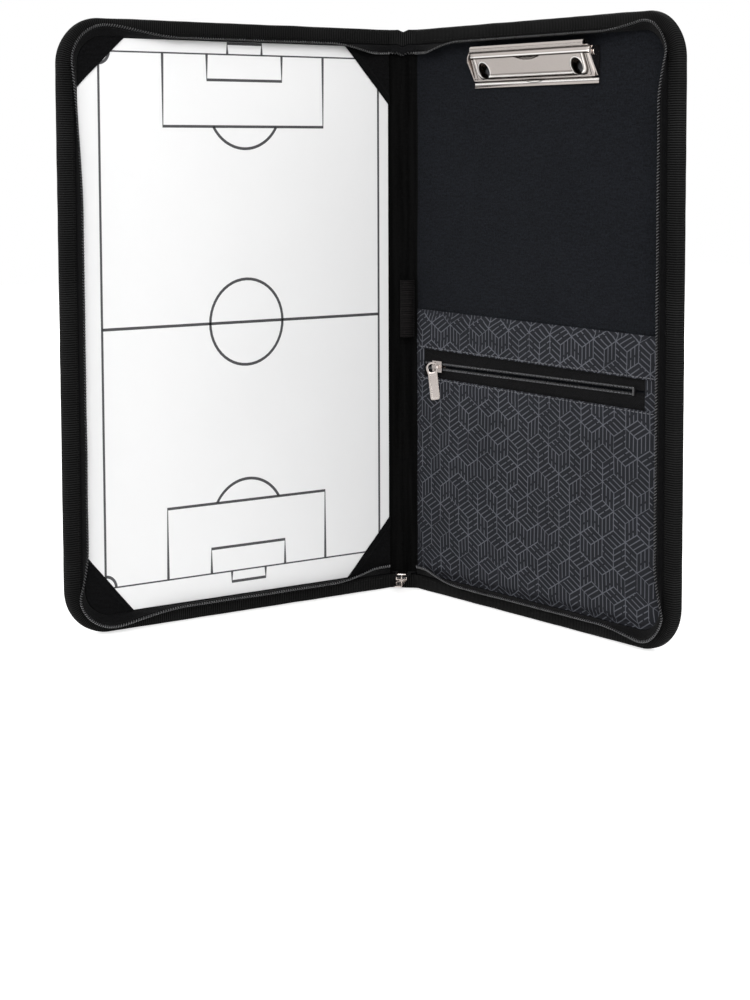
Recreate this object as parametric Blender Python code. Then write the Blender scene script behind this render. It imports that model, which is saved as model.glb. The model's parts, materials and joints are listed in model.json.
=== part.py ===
"""A zipped coach's folder that stands open: two padded covers joined by a soft spine.

Units are metres and +Z is up. The origin is on the ground at the middle of the spine's foot.
The folder is drawn as if it lay open flat, and each of its two folds is then turned by
FOLD_AT_REST. In a body's own frame x runs along the cover away from its fold line (the front
cover runs towards -x), z runs up the cover, and the inner face looks towards -y. Heights above
the inner face are called w, so y = -w, and distances in from the outer edge are called d.
"""

import math

import bmesh
import bpy
from mathutils import Matrix, Vector

# Covers and spine
COVER_HEIGHT = 0.350
COVER_WIDTH = 0.230
CORNER_RADIUS = 0.027
SPINE_WIDTH = 0.017
FOLD_AT_REST = math.radians(45)
FOLD_GAP = 0.0003
GAP = 0.0003
CORNER_STEPS = 6

# Layers of a cover, from the inner face outwards
LINING = 0.0008
STIFFENER = 0.0020
SHELL = 0.0010

# Grosgrain binding folded over the edges
BINDING = 0.0006
BINDING_DEPTH = 0.0088
BINDING_ROUND = 0.0012
SPINE_NOTCH = 0.0014

# Half of the main zip, sewn along each cover's open edges
ZIP_TAPE = 0.0006
ZIP_FLANGE_START = 0.0030
ZIP_LINE = 0.0103
ZIP_RISE = 0.0024
ZIP_REACH = 0.0080
ZIP_REACH_AT_FOLD = 0.0044
ZIP_REACH_UPRIGHT = 0.0051
ZIP_COIL_RADIUS = 0.00065
ZIP_STATION_STEP = 0.020
LEAN_AT_FOLD = math.radians(78)
LEAN_AT_TOP = math.radians(-5)
LEAN_AT_CORNER = math.radians(-70)
LEAN_AT_SIDE = {1: math.radians(-28), -1: math.radians(8)}
LEAN_CHANGE = 0.050
LEAN_CHANGE_AT_SIDE = {1: 0.045, -1: 0.125}

# Tactics board and the fabric corners that hold it
BOARD = 0.0011
BOARD_AT_FOLD = 0.0022
CORNER_POCKET = 0.0005
CORNER_POCKET_AT_FOLD = (0.0336, 0.0357)
CORNER_POCKET_TOP_OUTER = (0.0300, 0.0278)
CORNER_POCKET_FOOT_OUTER = (0.0317, 0.0366)

# Webbing and ribbon down the outside of the front cover
WEBBING = 0.0010
WEBBING_START = 0.017
WEBBING_WIDTH = 0.040
RIBBON_WIDTH = 0.0088

# Pocket on the back cover's lining
POCKET_FABRIC = 0.0008
POCKET_TOP = 0.1755
POCKET_HEM = 0.0040
POCKET_SLOPE = 0.0030
POCKET_ZIP_HEIGHT = 0.1430
POCKET_ZIP_OPENING = 0.0174
POCKET_AT_FOLD = 0.0016
POCKET_ZIP_START = 0.0095
POCKET_ZIP_END_TO_SIDE = 0.0311
POCKET_COIL_START = 0.0140
SLIDER_CENTRE = 0.0250
SLIDER_TRAVEL = 0.160

# Zip pieces: the pocket's zip, and the end of the main one at the foot of the spine
SMALL_TAPE = 0.0005
SMALL_TAPE_HIDDEN = 0.0026
COIL_HEIGHT = 0.0010
COIL_WIDTH = 0.0017
COIL_SPLIT = 0.0015
STOP_LENGTH = 0.0015
SLIDER_LENGTH = 0.0090
SLIDER_PLATE = 0.0007
SLIDER_WALL = 0.0007
SLIDER_NECK = 0.0008
ARCH_LENGTH = 0.0056
ARCH_WIDTH = 0.0020
ARCH_BAR = 0.0010
ARCH_CLEAR = 0.0013
PULL_PLATE = 0.0008
PULL_LENGTH = 0.022
PULL_WIDTH = 0.0054
PULL_EYE_WIDTH = 0.0036
PULL_EYE_LENGTH = 0.0050
PULL_RIM = 0.0012
PULL_HANG = math.radians(3)
TONGUE_LENGTH = 0.0140
TONGUE_HALF_WIDTH = 0.0046
MAIN_SLIDER_CENTRE = 0.0092

# Lever clip at the top of the back cover
CLIP_CENTRE = 0.1125
CLIP_LIP_TO_TOP = 0.0380
CLIP_HALF_WIDTH = 0.0541
LEVER_END_CLEAR = 0.0014
LEVER_SHOULDER = 0.0032
LEVER_SHEET = 0.0008
LEVER_SHOULDER_DROP = 0.0016
BASE_SHEET = 0.0010
LIP_DEPTH = 0.0031
LEVER_RISE_START = 0.0042
LEVER_RISE_END = 0.0170
LEVER_LOW = 0.0024
LEVER_HIGH = 0.0074
CURL_RADIUS = 0.0017
CURL_ALONG = 0.0226
CURL_ABOVE = 0.0074
PIVOT_ALONG = 0.0175
PIVOT_ABOVE = 0.0044
ROD_RADIUS = 0.00115
ROD_HEAD = 0.0007
ROD_CLEARANCE = 0.0002
BASE_START = 0.0044
BASE_END = 0.0210
RIVET_FROM_END = 0.0135
RIVET_ALONG = 0.0100
RIVET_HEAD_RADIUS = 0.0036
RIVET_HEAD = 0.0012
RIVET_SHANK_RADIUS = 0.0018
RIVET_TAIL = 0.0005
LEVER_HOLE_RADIUS = 0.0044
SPRING_WIRE = 0.0008
SPRING_TURNS = 6
SPRING_PITCH = 0.0013
SPRING_STEPS = 9

# Elastic pen loop on the spine
PEN_LOOP_FOOT = 0.1586
PEN_LOOP_HEIGHT = 0.0352
PEN_LOOP_CENTRE = 0.0012
PEN_LOOP_WIDTH = 0.0085
PEN_LOOP_RISE = 0.0066
PEN_LOOP_FABRIC = 0.0007

# Heights above the inner face and places, worked out from the sizes above
LINING_BACK = -LINING
STIFFENER_FRONT = LINING_BACK - GAP
STIFFENER_BACK = STIFFENER_FRONT - STIFFENER
SHELL_FRONT = STIFFENER_BACK - GAP
SHELL_BACK = SHELL_FRONT - SHELL
FLANGE_LOW = GAP
FLANGE_HIGH = FLANGE_LOW + ZIP_TAPE
BINDING_IN_LOW = FLANGE_HIGH + GAP
BINDING_IN_HIGH = BINDING_IN_LOW + BINDING
BINDING_OUT_HIGH = SHELL_BACK - GAP
BINDING_OUT_LOW = BINDING_OUT_HIGH - BINDING
LAYER_INSET = BINDING + GAP
INNER_MARGIN = ZIP_LINE + ZIP_TAPE / 2 + GAP
POCKET_ZIP_END = COVER_WIDTH - POCKET_ZIP_END_TO_SIDE
CLIP_FOOT = COVER_HEIGHT - CLIP_LIP_TO_TOP
LEVER_HALF_WIDTH = CLIP_HALF_WIDTH - LEVER_END_CLEAR
LEVER_FLAT_HALF_WIDTH = LEVER_HALF_WIDTH - LEVER_SHOULDER
RIVET_SPREAD = CLIP_HALF_WIDTH - RIVET_FROM_END
SLIDER_PLATE_LOW = GAP
SMALL_TAPE_LOW = SLIDER_PLATE_LOW + SLIDER_PLATE + GAP
SMALL_TAPE_HIGH = SMALL_TAPE_LOW + SMALL_TAPE
RAISED_LOW = SMALL_TAPE_HIGH + GAP
RAISED_HIGH = RAISED_LOW + POCKET_FABRIC


# Materials

def finish(name, colour, roughness, metallic=0.0):
    """A plain Principled material, made once and shared by its pieces."""
    material = bpy.data.materials.get(name)
    if material is None:
        material = bpy.data.materials.new(name)
        material.use_nodes = True
        shader = material.node_tree.nodes["Principled BSDF"]
        shader.inputs["Base Color"].default_value = (*colour, 1.0)
        shader.inputs["Roughness"].default_value = roughness
        shader.inputs["Metallic"].default_value = metallic
        material.diffuse_color = (*colour, 1.0)
    return material


def shell_fabric():
    return finish("shell_fabric", (0.016, 0.016, 0.022), 0.85)


def lining_fabric():
    return finish("lining_fabric", (0.012, 0.014, 0.019), 0.80)


def binding_tape():
    return finish("binding_tape", (0.010, 0.010, 0.010), 0.75)


def zip_tape():
    return finish("zip_tape", (0.006, 0.006, 0.006), 0.80)


def zip_coil():
    return finish("zip_coil", (0.020, 0.020, 0.022), 0.35)


def stiffener_board():
    return finish("stiffener_board", (0.16, 0.15, 0.13), 0.90)


def pocket_print():
    return finish("pocket_print", (0.030, 0.031, 0.036), 0.70)


def board_white():
    return finish("board_white", (0.85, 0.85, 0.85), 0.30)


def elastic_band():
    return finish("elastic_band", (0.008, 0.008, 0.008), 0.75)


def webbing_weave():
    return finish("webbing_weave", (0.011, 0.011, 0.013), 0.70)


def nickel():
    return finish("nickel", (0.70, 0.67, 0.63), 0.18, 1.0)


def dark_steel():
    return finish("dark_steel", (0.05, 0.05, 0.05), 0.35, 1.0)


# Bodies: each is an empty on its fold line, turned as the folder stands

def clear_scene():
    for item in list(bpy.data.objects):
        bpy.data.objects.remove(item, do_unlink=True)


def body_frame(name, location, turn):
    empty = bpy.data.objects.new(name, None)
    empty.location = location
    empty.rotation_euler = (0.0, 0.0, turn)
    bpy.context.collection.objects.link(empty)
    return empty


def make_frames():
    """The back cover stays along +X, and the spine and the front cover are folded from it."""
    half = Vector((SPINE_WIDTH / 2, 0.0, 0.0))
    half.rotate(Matrix.Rotation(FOLD_AT_REST, 3, "Z"))
    back = body_frame("back_fold_line", half, 0.0)
    spine = body_frame("spine_middle", (0.0, 0.0, 0.0), FOLD_AT_REST)
    front = body_frame("front_fold_line", -half, 2 * FOLD_AT_REST)
    return back, spine, front


# Meshes

def place(u, v, w, side=1):
    """A point of a cover: u from the fold line, v up the cover, w above the inner face."""
    return Vector((side * u, -w, v))


def piece(name, mesh, parent, material, origin=(0.0, 0.0, 0.0)):
    """Makes a named object of a bmesh, with its origin at a point of its body's frame."""
    bmesh.ops.translate(mesh, verts=mesh.verts, vec=-Vector(origin))
    bmesh.ops.recalc_face_normals(mesh, faces=mesh.faces)
    data = bpy.data.meshes.new(name)
    mesh.to_mesh(data)
    mesh.free()
    data.shade_smooth()
    data.set_sharp_from_angle(angle=math.radians(35))
    data.materials.append(material)
    thing = bpy.data.objects.new(name, data)
    thing.parent = parent
    thing.location = origin
    bpy.context.collection.objects.link(thing)
    return thing


def ring_sweep(rings):
    """A solid through rings of equal count, closed at both ends."""
    mesh = bmesh.new()
    loops = [[mesh.verts.new(point) for point in ring] for ring in rings]
    for near, far in zip(loops, loops[1:]):
        for i in range(len(near)):
            j = (i + 1) % len(near)
            mesh.faces.new((near[i], near[j], far[j], far[i]))
    mesh.faces.new(loops[0])
    mesh.faces.new(loops[-1])
    return mesh


def slab(outline, low, high, side=1):
    """A sheet with an outline of (u, v) points, between two heights above the inner face."""
    return ring_sweep([[place(u, v, w, side) for u, v in outline] for w in (low, high)])


def arc(centre_u, centre_v, radius, start, end, steps=CORNER_STEPS):
    """Points on an arc, angles in degrees."""
    points = []
    for i in range(steps + 1):
        angle = math.radians(start + (end - start) * i / steps)
        points.append((centre_u + radius * math.cos(angle), centre_v + radius * math.sin(angle)))
    return points


def cover_outline(near, inset):
    """A cover's outline drawn in from its open edges, from the foot of the fold round to its top."""
    radius = CORNER_RADIUS - inset
    far = COVER_WIDTH - CORNER_RADIUS
    top = COVER_HEIGHT - CORNER_RADIUS
    return ([(near, inset)] + arc(far, CORNER_RADIUS, radius, -90, 0)
            + arc(far, top, radius, 0, 90) + [(near, COVER_HEIGHT - inset)])


def box(low, high):
    """A block between two corners."""
    mesh = bmesh.new()
    bmesh.ops.create_cube(mesh, size=1.0)
    low = Vector(low)
    high = Vector(high)
    bmesh.ops.scale(mesh, verts=mesh.verts, vec=high - low)
    bmesh.ops.translate(mesh, verts=mesh.verts, vec=(low + high) / 2)
    return mesh


def round_bar(centre, axis, stations, sides=12):
    """A turned solid: stations are (distance along the axis, radius)."""
    axis = Vector(axis).normalized()
    turn = axis.to_track_quat("Z", "Y").to_matrix()
    rings = []
    for along, radius in stations:
        ring = []
        for i in range(sides):
            angle = 2 * math.pi * i / sides
            offset = turn @ Vector((radius * math.cos(angle), radius * math.sin(angle), 0.0))
            ring.append(Vector(centre) + axis * along + offset)
        rings.append(ring)
    return ring_sweep(rings)


def bake(thing):
    """Applies a mesh object's modifiers."""
    bpy.context.view_layer.update()
    evaluated = thing.evaluated_get(bpy.context.evaluated_depsgraph_get())
    plain = thing.data
    thing.data = bpy.data.meshes.new_from_object(evaluated)
    thing.data.name = thing.name
    thing.modifiers.clear()
    bpy.data.meshes.remove(plain)


def apply_boolean(base, tool_meshes, operation):
    """Cuts or joins bmesh tools, given in the frame of the base's body, with the base object."""
    tools = []
    for mesh in tool_meshes:
        tool = piece("tool", mesh, base.parent, base.data.materials[0])
        tools.append(tool)
        modifier = base.modifiers.new("tool", "BOOLEAN")
        modifier.operation = operation
        modifier.solver = "EXACT"
        modifier.object = tool
    bake(base)
    for tool in tools:
        data = tool.data
        bpy.data.objects.remove(tool, do_unlink=True)
        bpy.data.meshes.remove(data)


# Runs along the open edges of a cover

def straight_stations(start, end, normal, step):
    """Edge points between two points, the first left out, with the inward normal."""
    start = Vector(start)
    end = Vector(end)
    count = 1
    if step:
        count = max(1, round((end - start).length / step))
    return [(start.lerp(end, i / count), Vector(normal)) for i in range(1, count + 1)]


def corner_stations(centre, start, end):
    """Edge points round a corner, the first left out."""
    stations = []
    for i in range(1, CORNER_STEPS + 1):
        angle = math.radians(start + (end - start) * i / CORNER_STEPS)
        outward = Vector((math.cos(angle), math.sin(angle)))
        stations.append((Vector(centre) + outward * CORNER_RADIUS, -outward))
    return stations


def edge_stations(step=None):
    """Points on the outer edge, with inward normals, from the top of the fold to its foot."""
    far = COVER_WIDTH - CORNER_RADIUS
    top = COVER_HEIGHT - CORNER_RADIUS
    stations = [(Vector((0.0, COVER_HEIGHT)), Vector((0.0, -1.0)))]
    stations += straight_stations((0.0, COVER_HEIGHT), (far, COVER_HEIGHT), (0.0, -1.0), step)
    stations += corner_stations((far, top), 90, 0)
    stations += straight_stations((COVER_WIDTH, top), (COVER_WIDTH, CORNER_RADIUS), (-1.0, 0.0), step)
    stations += corner_stations((far, CORNER_RADIUS), 0, -90)
    stations += straight_stations((far, 0.0), (0.0, 0.0), (0.0, 1.0), step)
    return stations


def mitred(u, w):
    """Draws a point at a fold back by its height, so that folded neighbours meet at 45 degrees."""
    return max(u, FOLD_GAP + max(0.0, w))


def edge_sweep(profile_at, side, step=None):
    """Sweeps a (d, w) profile, which may change along the edge, round a cover's open edges."""
    stations = edge_stations(step)
    rings = []
    travelled = 0.0
    for number, (point, normal) in enumerate(stations):
        if number:
            travelled += (point - stations[number - 1][0]).length
        ring = []
        for d, w in profile_at(travelled):
            spot = point + normal * d
            ring.append(place(mitred(spot.x, w), spot.y, w, side))
        rings.append(ring)
    return ring_sweep(rings)


def spine_sweep(profile, at_top, notch=0.0):
    """Sweeps a (d, w) profile across the spine's top or foot, mitred at both folds."""
    half = SPINE_WIDTH / 2
    rings = []
    for x, drop in ((-half, 0.0), (-half / 3, 0.0), (0.0, notch), (half / 3, 0.0), (half, 0.0)):
        ring = []
        for d, w in profile:
            reach = half - FOLD_GAP - max(0.0, w)
            v = d + drop
            if at_top:
                v = COVER_HEIGHT - v
            ring.append(place(max(-reach, min(reach, x)), v, w))
        rings.append(ring)
    return ring_sweep(rings)


def binding_profile():
    """The folded grosgrain in section: an inner leg, a rounded edge and an outer leg."""
    high = BINDING_IN_HIGH
    low = BINDING_OUT_LOW
    r = BINDING_ROUND
    cut = r * (1 - math.sqrt(0.5))
    return [(BINDING_DEPTH, BINDING_IN_LOW), (BINDING_DEPTH, high), (r, high), (cut, high - cut),
            (0.0, high - r), (0.0, low + r), (cut, low + cut), (r, low), (BINDING_DEPTH, low),
            (BINDING_DEPTH, BINDING_OUT_HIGH), (BINDING, BINDING_OUT_HIGH),
            (BINDING, BINDING_IN_LOW)]


def smooth_step(value):
    value = max(0.0, min(1.0, value))
    return value * value * (3 - 2 * value)


def edge_length():
    return (2 * (COVER_WIDTH - CORNER_RADIUS) + math.pi * CORNER_RADIUS
            + COVER_HEIGHT - 2 * CORNER_RADIUS)


def zip_at(travelled, side):
    """How far the zip tape leans in, and its reach to the coil, at a distance along the edge."""
    near = min(travelled, edge_length() - travelled)
    corner = COVER_WIDTH - CORNER_RADIUS
    corner_end = corner + math.pi * CORNER_RADIUS / 2
    away = smooth_step(near / LEAN_CHANGE)
    lean = LEAN_AT_FOLD
    lean += (LEAN_AT_TOP - lean) * away
    lean += (LEAN_AT_CORNER - lean) * smooth_step((near - corner + LEAN_CHANGE) / LEAN_CHANGE)
    along_side = (near - corner_end) / LEAN_CHANGE_AT_SIDE[side]
    lean += (LEAN_AT_SIDE[side] - lean) * smooth_step(along_side)
    free = min(ZIP_REACH, ZIP_REACH_UPRIGHT / math.cos(lean))
    return lean, ZIP_REACH_AT_FOLD + (free - ZIP_REACH_AT_FOLD) * away


def tape_profile(lean, reach):
    """The half tape in section: a sewn flange, a short upright and the leaning part."""
    half = ZIP_TAPE / 2
    along = Vector((math.sin(lean), math.cos(lean)))
    across = Vector((math.cos(lean), -math.sin(lean)))
    tip = Vector((ZIP_LINE, ZIP_RISE)) + along * (reach - ZIP_COIL_RADIUS - GAP)
    bend = half * math.tan(lean / 2)
    inner = tip + across * half
    outer = tip - across * half
    return [(ZIP_FLANGE_START, FLANGE_LOW), (ZIP_LINE + half, FLANGE_LOW),
            (ZIP_LINE + half, ZIP_RISE - bend), tuple(inner), tuple(outer),
            (ZIP_LINE - half, ZIP_RISE + bend), (ZIP_LINE - half, FLANGE_HIGH),
            (ZIP_FLANGE_START, FLANGE_HIGH)]


def coil_profile(lean, reach):
    """The coil in section, carried on the tape's inner edge."""
    centre = Vector((ZIP_LINE, ZIP_RISE)) + reach * Vector((math.sin(lean), math.cos(lean)))
    return [tuple(centre + ZIP_COIL_RADIUS * Vector((math.cos(a), math.sin(a))))
            for a in (math.radians(60 * i) - lean for i in range(6))]


# Pieces that both covers have

def make_cover(name, parent, side):
    """Lining, stiffener, shell, binding and half of the zip, for one cover."""
    layers = cover_outline(FOLD_GAP, LAYER_INSET)
    piece(name + "_lining", slab(layers, 0.0, LINING_BACK, side), parent, lining_fabric())
    piece(name + "_stiffener", slab(layers, STIFFENER_FRONT, STIFFENER_BACK, side), parent,
          stiffener_board())
    piece(name + "_shell", slab(layers, SHELL_FRONT, SHELL_BACK, side), parent, shell_fabric())
    binding = binding_profile()
    piece(name + "_binding", edge_sweep(lambda s: binding, side), parent, binding_tape())
    for part, profile, material in (("_zip_tape", tape_profile, zip_tape()),
                                    ("_zip_coil", coil_profile, zip_coil())):
        sweep = edge_sweep(lambda s, shape=profile: shape(*zip_at(s, side)), side, ZIP_STATION_STEP)
        piece(name + part, sweep, parent, material)


# Front cover

def make_board(front):
    outline = cover_outline(BOARD_AT_FOLD, INNER_MARGIN)
    piece("tactics_board", slab(outline, GAP, GAP + BOARD, -1), front, board_white())


def make_corner_pockets(front):
    """Four fabric triangles over the board's corners."""
    low = GAP + BOARD + GAP
    high = low + CORNER_POCKET
    margin = INNER_MARGIN + GAP
    near = FOLD_GAP + high + GAP
    far = COVER_WIDTH - margin
    radius = CORNER_RADIUS - margin
    for end, at_outer in (("top", CORNER_POCKET_TOP_OUTER), ("foot", CORNER_POCKET_FOOT_OUTER)):
        across, rise = CORNER_POCKET_AT_FOLD
        fold_side = [(near, margin + rise), (near, margin), (near + across, margin)]
        across, rise = at_outer
        outer_side = ([(far - across, margin)] + arc(far - radius, margin + radius, radius, -90, 0)
                      + [(far, margin + rise)])
        for place_name, outline in (("fold", fold_side), ("outer", outer_side)):
            if end == "top":
                outline = [(u, COVER_HEIGHT - v) for u, v in outline]
            piece("corner_pocket_" + end + "_" + place_name, slab(outline, low, high, -1), front,
                  lining_fabric())


def make_webbing(front):
    """Wide webbing and a narrow ribbon, tucked against the binding at both ends."""
    low = BINDING_DEPTH + GAP
    high = COVER_HEIGHT - low
    front_w = SHELL_BACK - GAP
    ribbon_start = WEBBING_START + WEBBING_WIDTH + GAP
    for name, start, width, thickness in (
            ("front_webbing", WEBBING_START, WEBBING_WIDTH, WEBBING),
            ("front_ribbon", ribbon_start, RIBBON_WIDTH, WEBBING)):
        outline = [(start, low), (start + width, low), (start + width, high), (start, high)]
        piece(name, slab(outline, front_w, front_w - thickness, -1), front, webbing_weave())


# Pocket on the back cover

def pocket_far():
    return COVER_WIDTH - INNER_MARGIN


def pocket_rings(closed_v, open_v):
    """Three outlines of a pocket panel, each further in, open along the zip."""
    rings = []
    down = closed_v < open_v
    for inset in (0.0, POCKET_HEM, POCKET_HEM + POCKET_SLOPE):
        near = POCKET_AT_FOLD + inset
        far = pocket_far() - inset
        if down:
            radius = CORNER_RADIUS - INNER_MARGIN - inset
            bottom = closed_v + inset
            ring = ([(near, open_v), (near, bottom)]
                    + arc(far - radius, bottom + radius, radius, -90, 0) + [(far, open_v)])
        else:
            top = closed_v - inset
            ring = [(near, open_v), (near, top), (far, top), (far, open_v)]
        rings.append(ring)
    return rings


def pocket_panel(closed_v, open_v):
    """A sewn-down hem that rises to the flat panel, closed on three sides and open at the zip."""
    mesh = bmesh.new()
    rings = pocket_rings(closed_v, open_v)
    lows = (GAP, GAP, RAISED_LOW)
    sheets = []
    for lift in (0.0, POCKET_FABRIC):
        sheets.append([[mesh.verts.new(place(u, v, low + lift)) for u, v in ring]
                       for ring, low in zip(rings, lows)])
    for sheet in sheets:
        for outer, inner in zip(sheet, sheet[1:]):
            for i in range(len(outer) - 1):
                mesh.faces.new((outer[i], outer[i + 1], inner[i + 1], inner[i]))
        mesh.faces.new(sheet[-1])
    under, over = sheets
    for i in range(len(under[0]) - 1):
        mesh.faces.new((under[0][i], under[0][i + 1], over[0][i + 1], over[0][i]))
    edge = [ring[0] for ring in under] + [ring[-1] for ring in reversed(under)]
    edge += [ring[-1] for ring in over] + [ring[0] for ring in reversed(over)]
    mesh.faces.new(edge)
    return mesh


def make_pocket(back):
    low_edge = POCKET_ZIP_HEIGHT - POCKET_ZIP_OPENING / 2
    high_edge = POCKET_ZIP_HEIGHT + POCKET_ZIP_OPENING / 2
    piece("pocket_lower_panel", pocket_panel(INNER_MARGIN, low_edge), back, pocket_print())
    piece("pocket_upper_band", pocket_panel(POCKET_TOP, high_edge), back, pocket_print())
    for name, start, end in (("pocket_zip_tab_fold", POCKET_AT_FOLD, POCKET_ZIP_START - GAP),
                             ("pocket_zip_tab_outer", POCKET_ZIP_END + GAP, pocket_far())):
        outline = [(start, low_edge + GAP), (end, low_edge + GAP),
                   (end, high_edge - GAP), (start, high_edge - GAP)]
        piece(name, slab(outline, GAP, SMALL_TAPE_HIGH), back, pocket_print())


def make_pocket_zip(back):
    """Two tapes with their coils, and the stops at both ends of the coils."""
    reach = POCKET_ZIP_OPENING / 2 + SMALL_TAPE_HIDDEN
    coil_low = SMALL_TAPE_HIGH + GAP
    coil_high = coil_low + COIL_HEIGHT
    coil_end = POCKET_ZIP_END - GAP - STOP_LENGTH - GAP
    for name, way in (("upper", 1), ("lower", -1)):
        inner = POCKET_ZIP_HEIGHT + way * COIL_SPLIT / 2
        outer = POCKET_ZIP_HEIGHT + way * reach
        coil_outer = inner + way * COIL_WIDTH
        tape = [(POCKET_ZIP_START, inner), (POCKET_ZIP_END, inner),
                (POCKET_ZIP_END, outer), (POCKET_ZIP_START, outer)]
        coil = [(POCKET_COIL_START, inner), (coil_end, inner),
                (coil_end, coil_outer), (POCKET_COIL_START, coil_outer)]
        stop_start = POCKET_COIL_START - GAP - STOP_LENGTH
        stop_end = POCKET_COIL_START - GAP
        stop = [(stop_start, inner), (stop_end, inner), (stop_end, coil_outer),
                (stop_start, coil_outer)]
        piece("pocket_zip_tape_" + name, slab(tape, SMALL_TAPE_LOW, SMALL_TAPE_HIGH), back,
              zip_tape())
        piece("pocket_zip_coil_" + name, slab(coil, coil_low, coil_high), back, zip_coil())
        piece("pocket_zip_top_stop_" + name, slab(stop, coil_low, coil_high), back, nickel())
    reach = COIL_SPLIT / 2 + COIL_WIDTH
    start = coil_end + GAP
    end = start + STOP_LENGTH
    outline = [(start, POCKET_ZIP_HEIGHT - reach), (end, POCKET_ZIP_HEIGHT - reach),
               (end, POCKET_ZIP_HEIGHT + reach), (start, POCKET_ZIP_HEIGHT + reach)]
    piece("pocket_zip_bottom_stop", slab(outline, coil_low, coil_high), back, nickel())


# Zip sliders and their pulls, drawn with l along the zip, c across it and h above the tape's back

def slider_half_width():
    return COIL_SPLIT / 2 + COIL_WIDTH + GAP + SLIDER_WALL


def slider_heights(tape):
    """Heights of the slider's faces above the back of a tape of this thickness."""
    coil_high = tape + GAP + COIL_HEIGHT
    plate_low = coil_high + GAP
    plate_high = plate_low + SLIDER_PLATE
    tunnel_high = plate_high + ARCH_CLEAR
    return tape + GAP, plate_low, plate_high, tunnel_high, tunnel_high + ARCH_BAR


def prism(outline, axis, low, high):
    """A block with an outline in two of the axes l, c, h and a reach along the third."""
    rings = []
    for level in (low, high):
        ring = []
        for first, second in outline:
            values = [first, second]
            values.insert("lch".index(axis), level)
            ring.append(Vector(values))
        rings.append(ring)
    return ring_sweep(rings)


def move_to(mesh, frame):
    """Takes a mesh from l, c, h to a body's frame by a matrix."""
    bmesh.ops.transform(mesh, matrix=frame, verts=mesh.verts)
    return mesh


def make_slider(name, parent, frame, tape):
    """A slider: a grooved face plate with a pull arch, joined to a back plate by the neck."""
    half = slider_half_width()
    length = SLIDER_LENGTH / 2
    wall_low, plate_low, plate_high, tunnel_high, arch_high = slider_heights(tape)
    lip = half - SLIDER_WALL
    section = [(-half, wall_low), (-half, plate_high), (half, plate_high), (half, wall_low),
               (lip, wall_low), (lip, plate_low), (-lip, plate_low), (-lip, wall_low)]
    face = prism(section, "l", -length, length)
    back_low = -GAP - SLIDER_PLATE
    taper = half * 0.8
    back_outline = [(-length, -taper), (0.0, -half), (length * 0.8, -half), (length, -taper),
                    (length, taper), (length * 0.8, half), (0.0, half), (-length, taper)]
    back_plate = prism(back_outline, "h", back_low, -GAP)
    bite = SLIDER_PLATE / 2
    neck = prism([(length * 0.35, -GAP - bite), (length * 0.85, -GAP - bite),
                  (length * 0.85, plate_low + bite), (length * 0.35, plate_low + bite)],
                 "c", -SLIDER_NECK / 2, SLIDER_NECK / 2)
    reach = ARCH_LENGTH / 2
    foot = plate_high - bite
    arch = prism([(-reach, foot), (-reach, tunnel_high), (-reach + ARCH_BAR / 2, arch_high),
                  (reach - ARCH_BAR / 2, arch_high), (reach, tunnel_high), (reach, foot),
                  (reach - ARCH_BAR, foot), (reach - ARCH_BAR, tunnel_high),
                  (-reach + ARCH_BAR, tunnel_high), (-reach + ARCH_BAR, foot)],
                 "c", -ARCH_WIDTH / 2, ARCH_WIDTH / 2)
    origin = frame.translation
    thing = piece(name, move_to(face, frame), parent, nickel(), origin)
    apply_boolean(thing, [move_to(part, frame) for part in (back_plate, neck, arch)], "UNION")
    return thing


def pull_outline():
    """The pull tab's edge: an eye end, a waist and a rounded foot, hung from the eye's inner top."""
    eye_half = PULL_EYE_WIDTH / 2 + PULL_RIM
    half = PULL_WIDTH / 2
    top = PULL_RIM
    eye_foot = -PULL_EYE_LENGTH - PULL_RIM
    foot = PULL_RIM - PULL_LENGTH
    cut = PULL_RIM
    right = [(eye_half - cut, top), (eye_half, top - cut), (eye_half, eye_foot + cut),
             (half * 0.7, eye_foot - cut / 2), (half, eye_foot - 2 * cut),
             (half, foot + cut), (half - cut, foot)]
    return right + [(-x, y) for x, y in reversed(right)]


def axes_matrix(first, second, third, origin):
    """A matrix whose columns are three axes and an origin."""
    matrix = Matrix((first, second, third)).transposed().to_4x4()
    matrix.translation = Vector(origin)
    return matrix


def make_pull(name, parent, pin, across, up, hang):
    """A pull tab with its eye round one leg of the arch; pin is the leg's middle."""
    across = Vector(across)
    up = Vector(up)
    normal = across.cross(up)
    turn = Matrix.Rotation(hang, 4, normal)
    frame = Matrix.Translation(pin) @ turn @ axes_matrix(across, up, normal, up * (ARCH_WIDTH / 2 + GAP))
    tab = prism(pull_outline(), "h", -PULL_PLATE / 2, PULL_PLATE / 2)
    half = PULL_EYE_WIDTH / 2
    eye = prism([(half, 0.0), (half, -PULL_EYE_LENGTH), (-half, -PULL_EYE_LENGTH), (-half, 0.0)],
                "h", -PULL_PLATE, PULL_PLATE)
    thing = piece(name, move_to(tab, frame), parent, nickel(), pin)
    apply_boolean(thing, [move_to(eye, frame)], "DIFFERENCE")


def make_pocket_slider(back):
    """The slider at the closed end of the pocket's zip, with its pull hanging from the arch."""
    origin = place(SLIDER_CENTRE, POCKET_ZIP_HEIGHT, SMALL_TAPE_LOW)
    frame = axes_matrix((-1, 0, 0), (0, 0, -1), (0, -1, 0), origin)
    make_slider("pocket_zip_slider", back, frame, SMALL_TAPE)
    plate_high = slider_heights(SMALL_TAPE)[2]
    leg = SLIDER_CENTRE - ARCH_LENGTH / 2 + ARCH_BAR / 2
    pin = place(leg, POCKET_ZIP_HEIGHT, SMALL_TAPE_LOW + plate_high + ARCH_CLEAR / 2)
    make_pull("pocket_zip_pull", back, pin, (1, 0, 0), (0, 0, 1), PULL_HANG)


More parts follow.
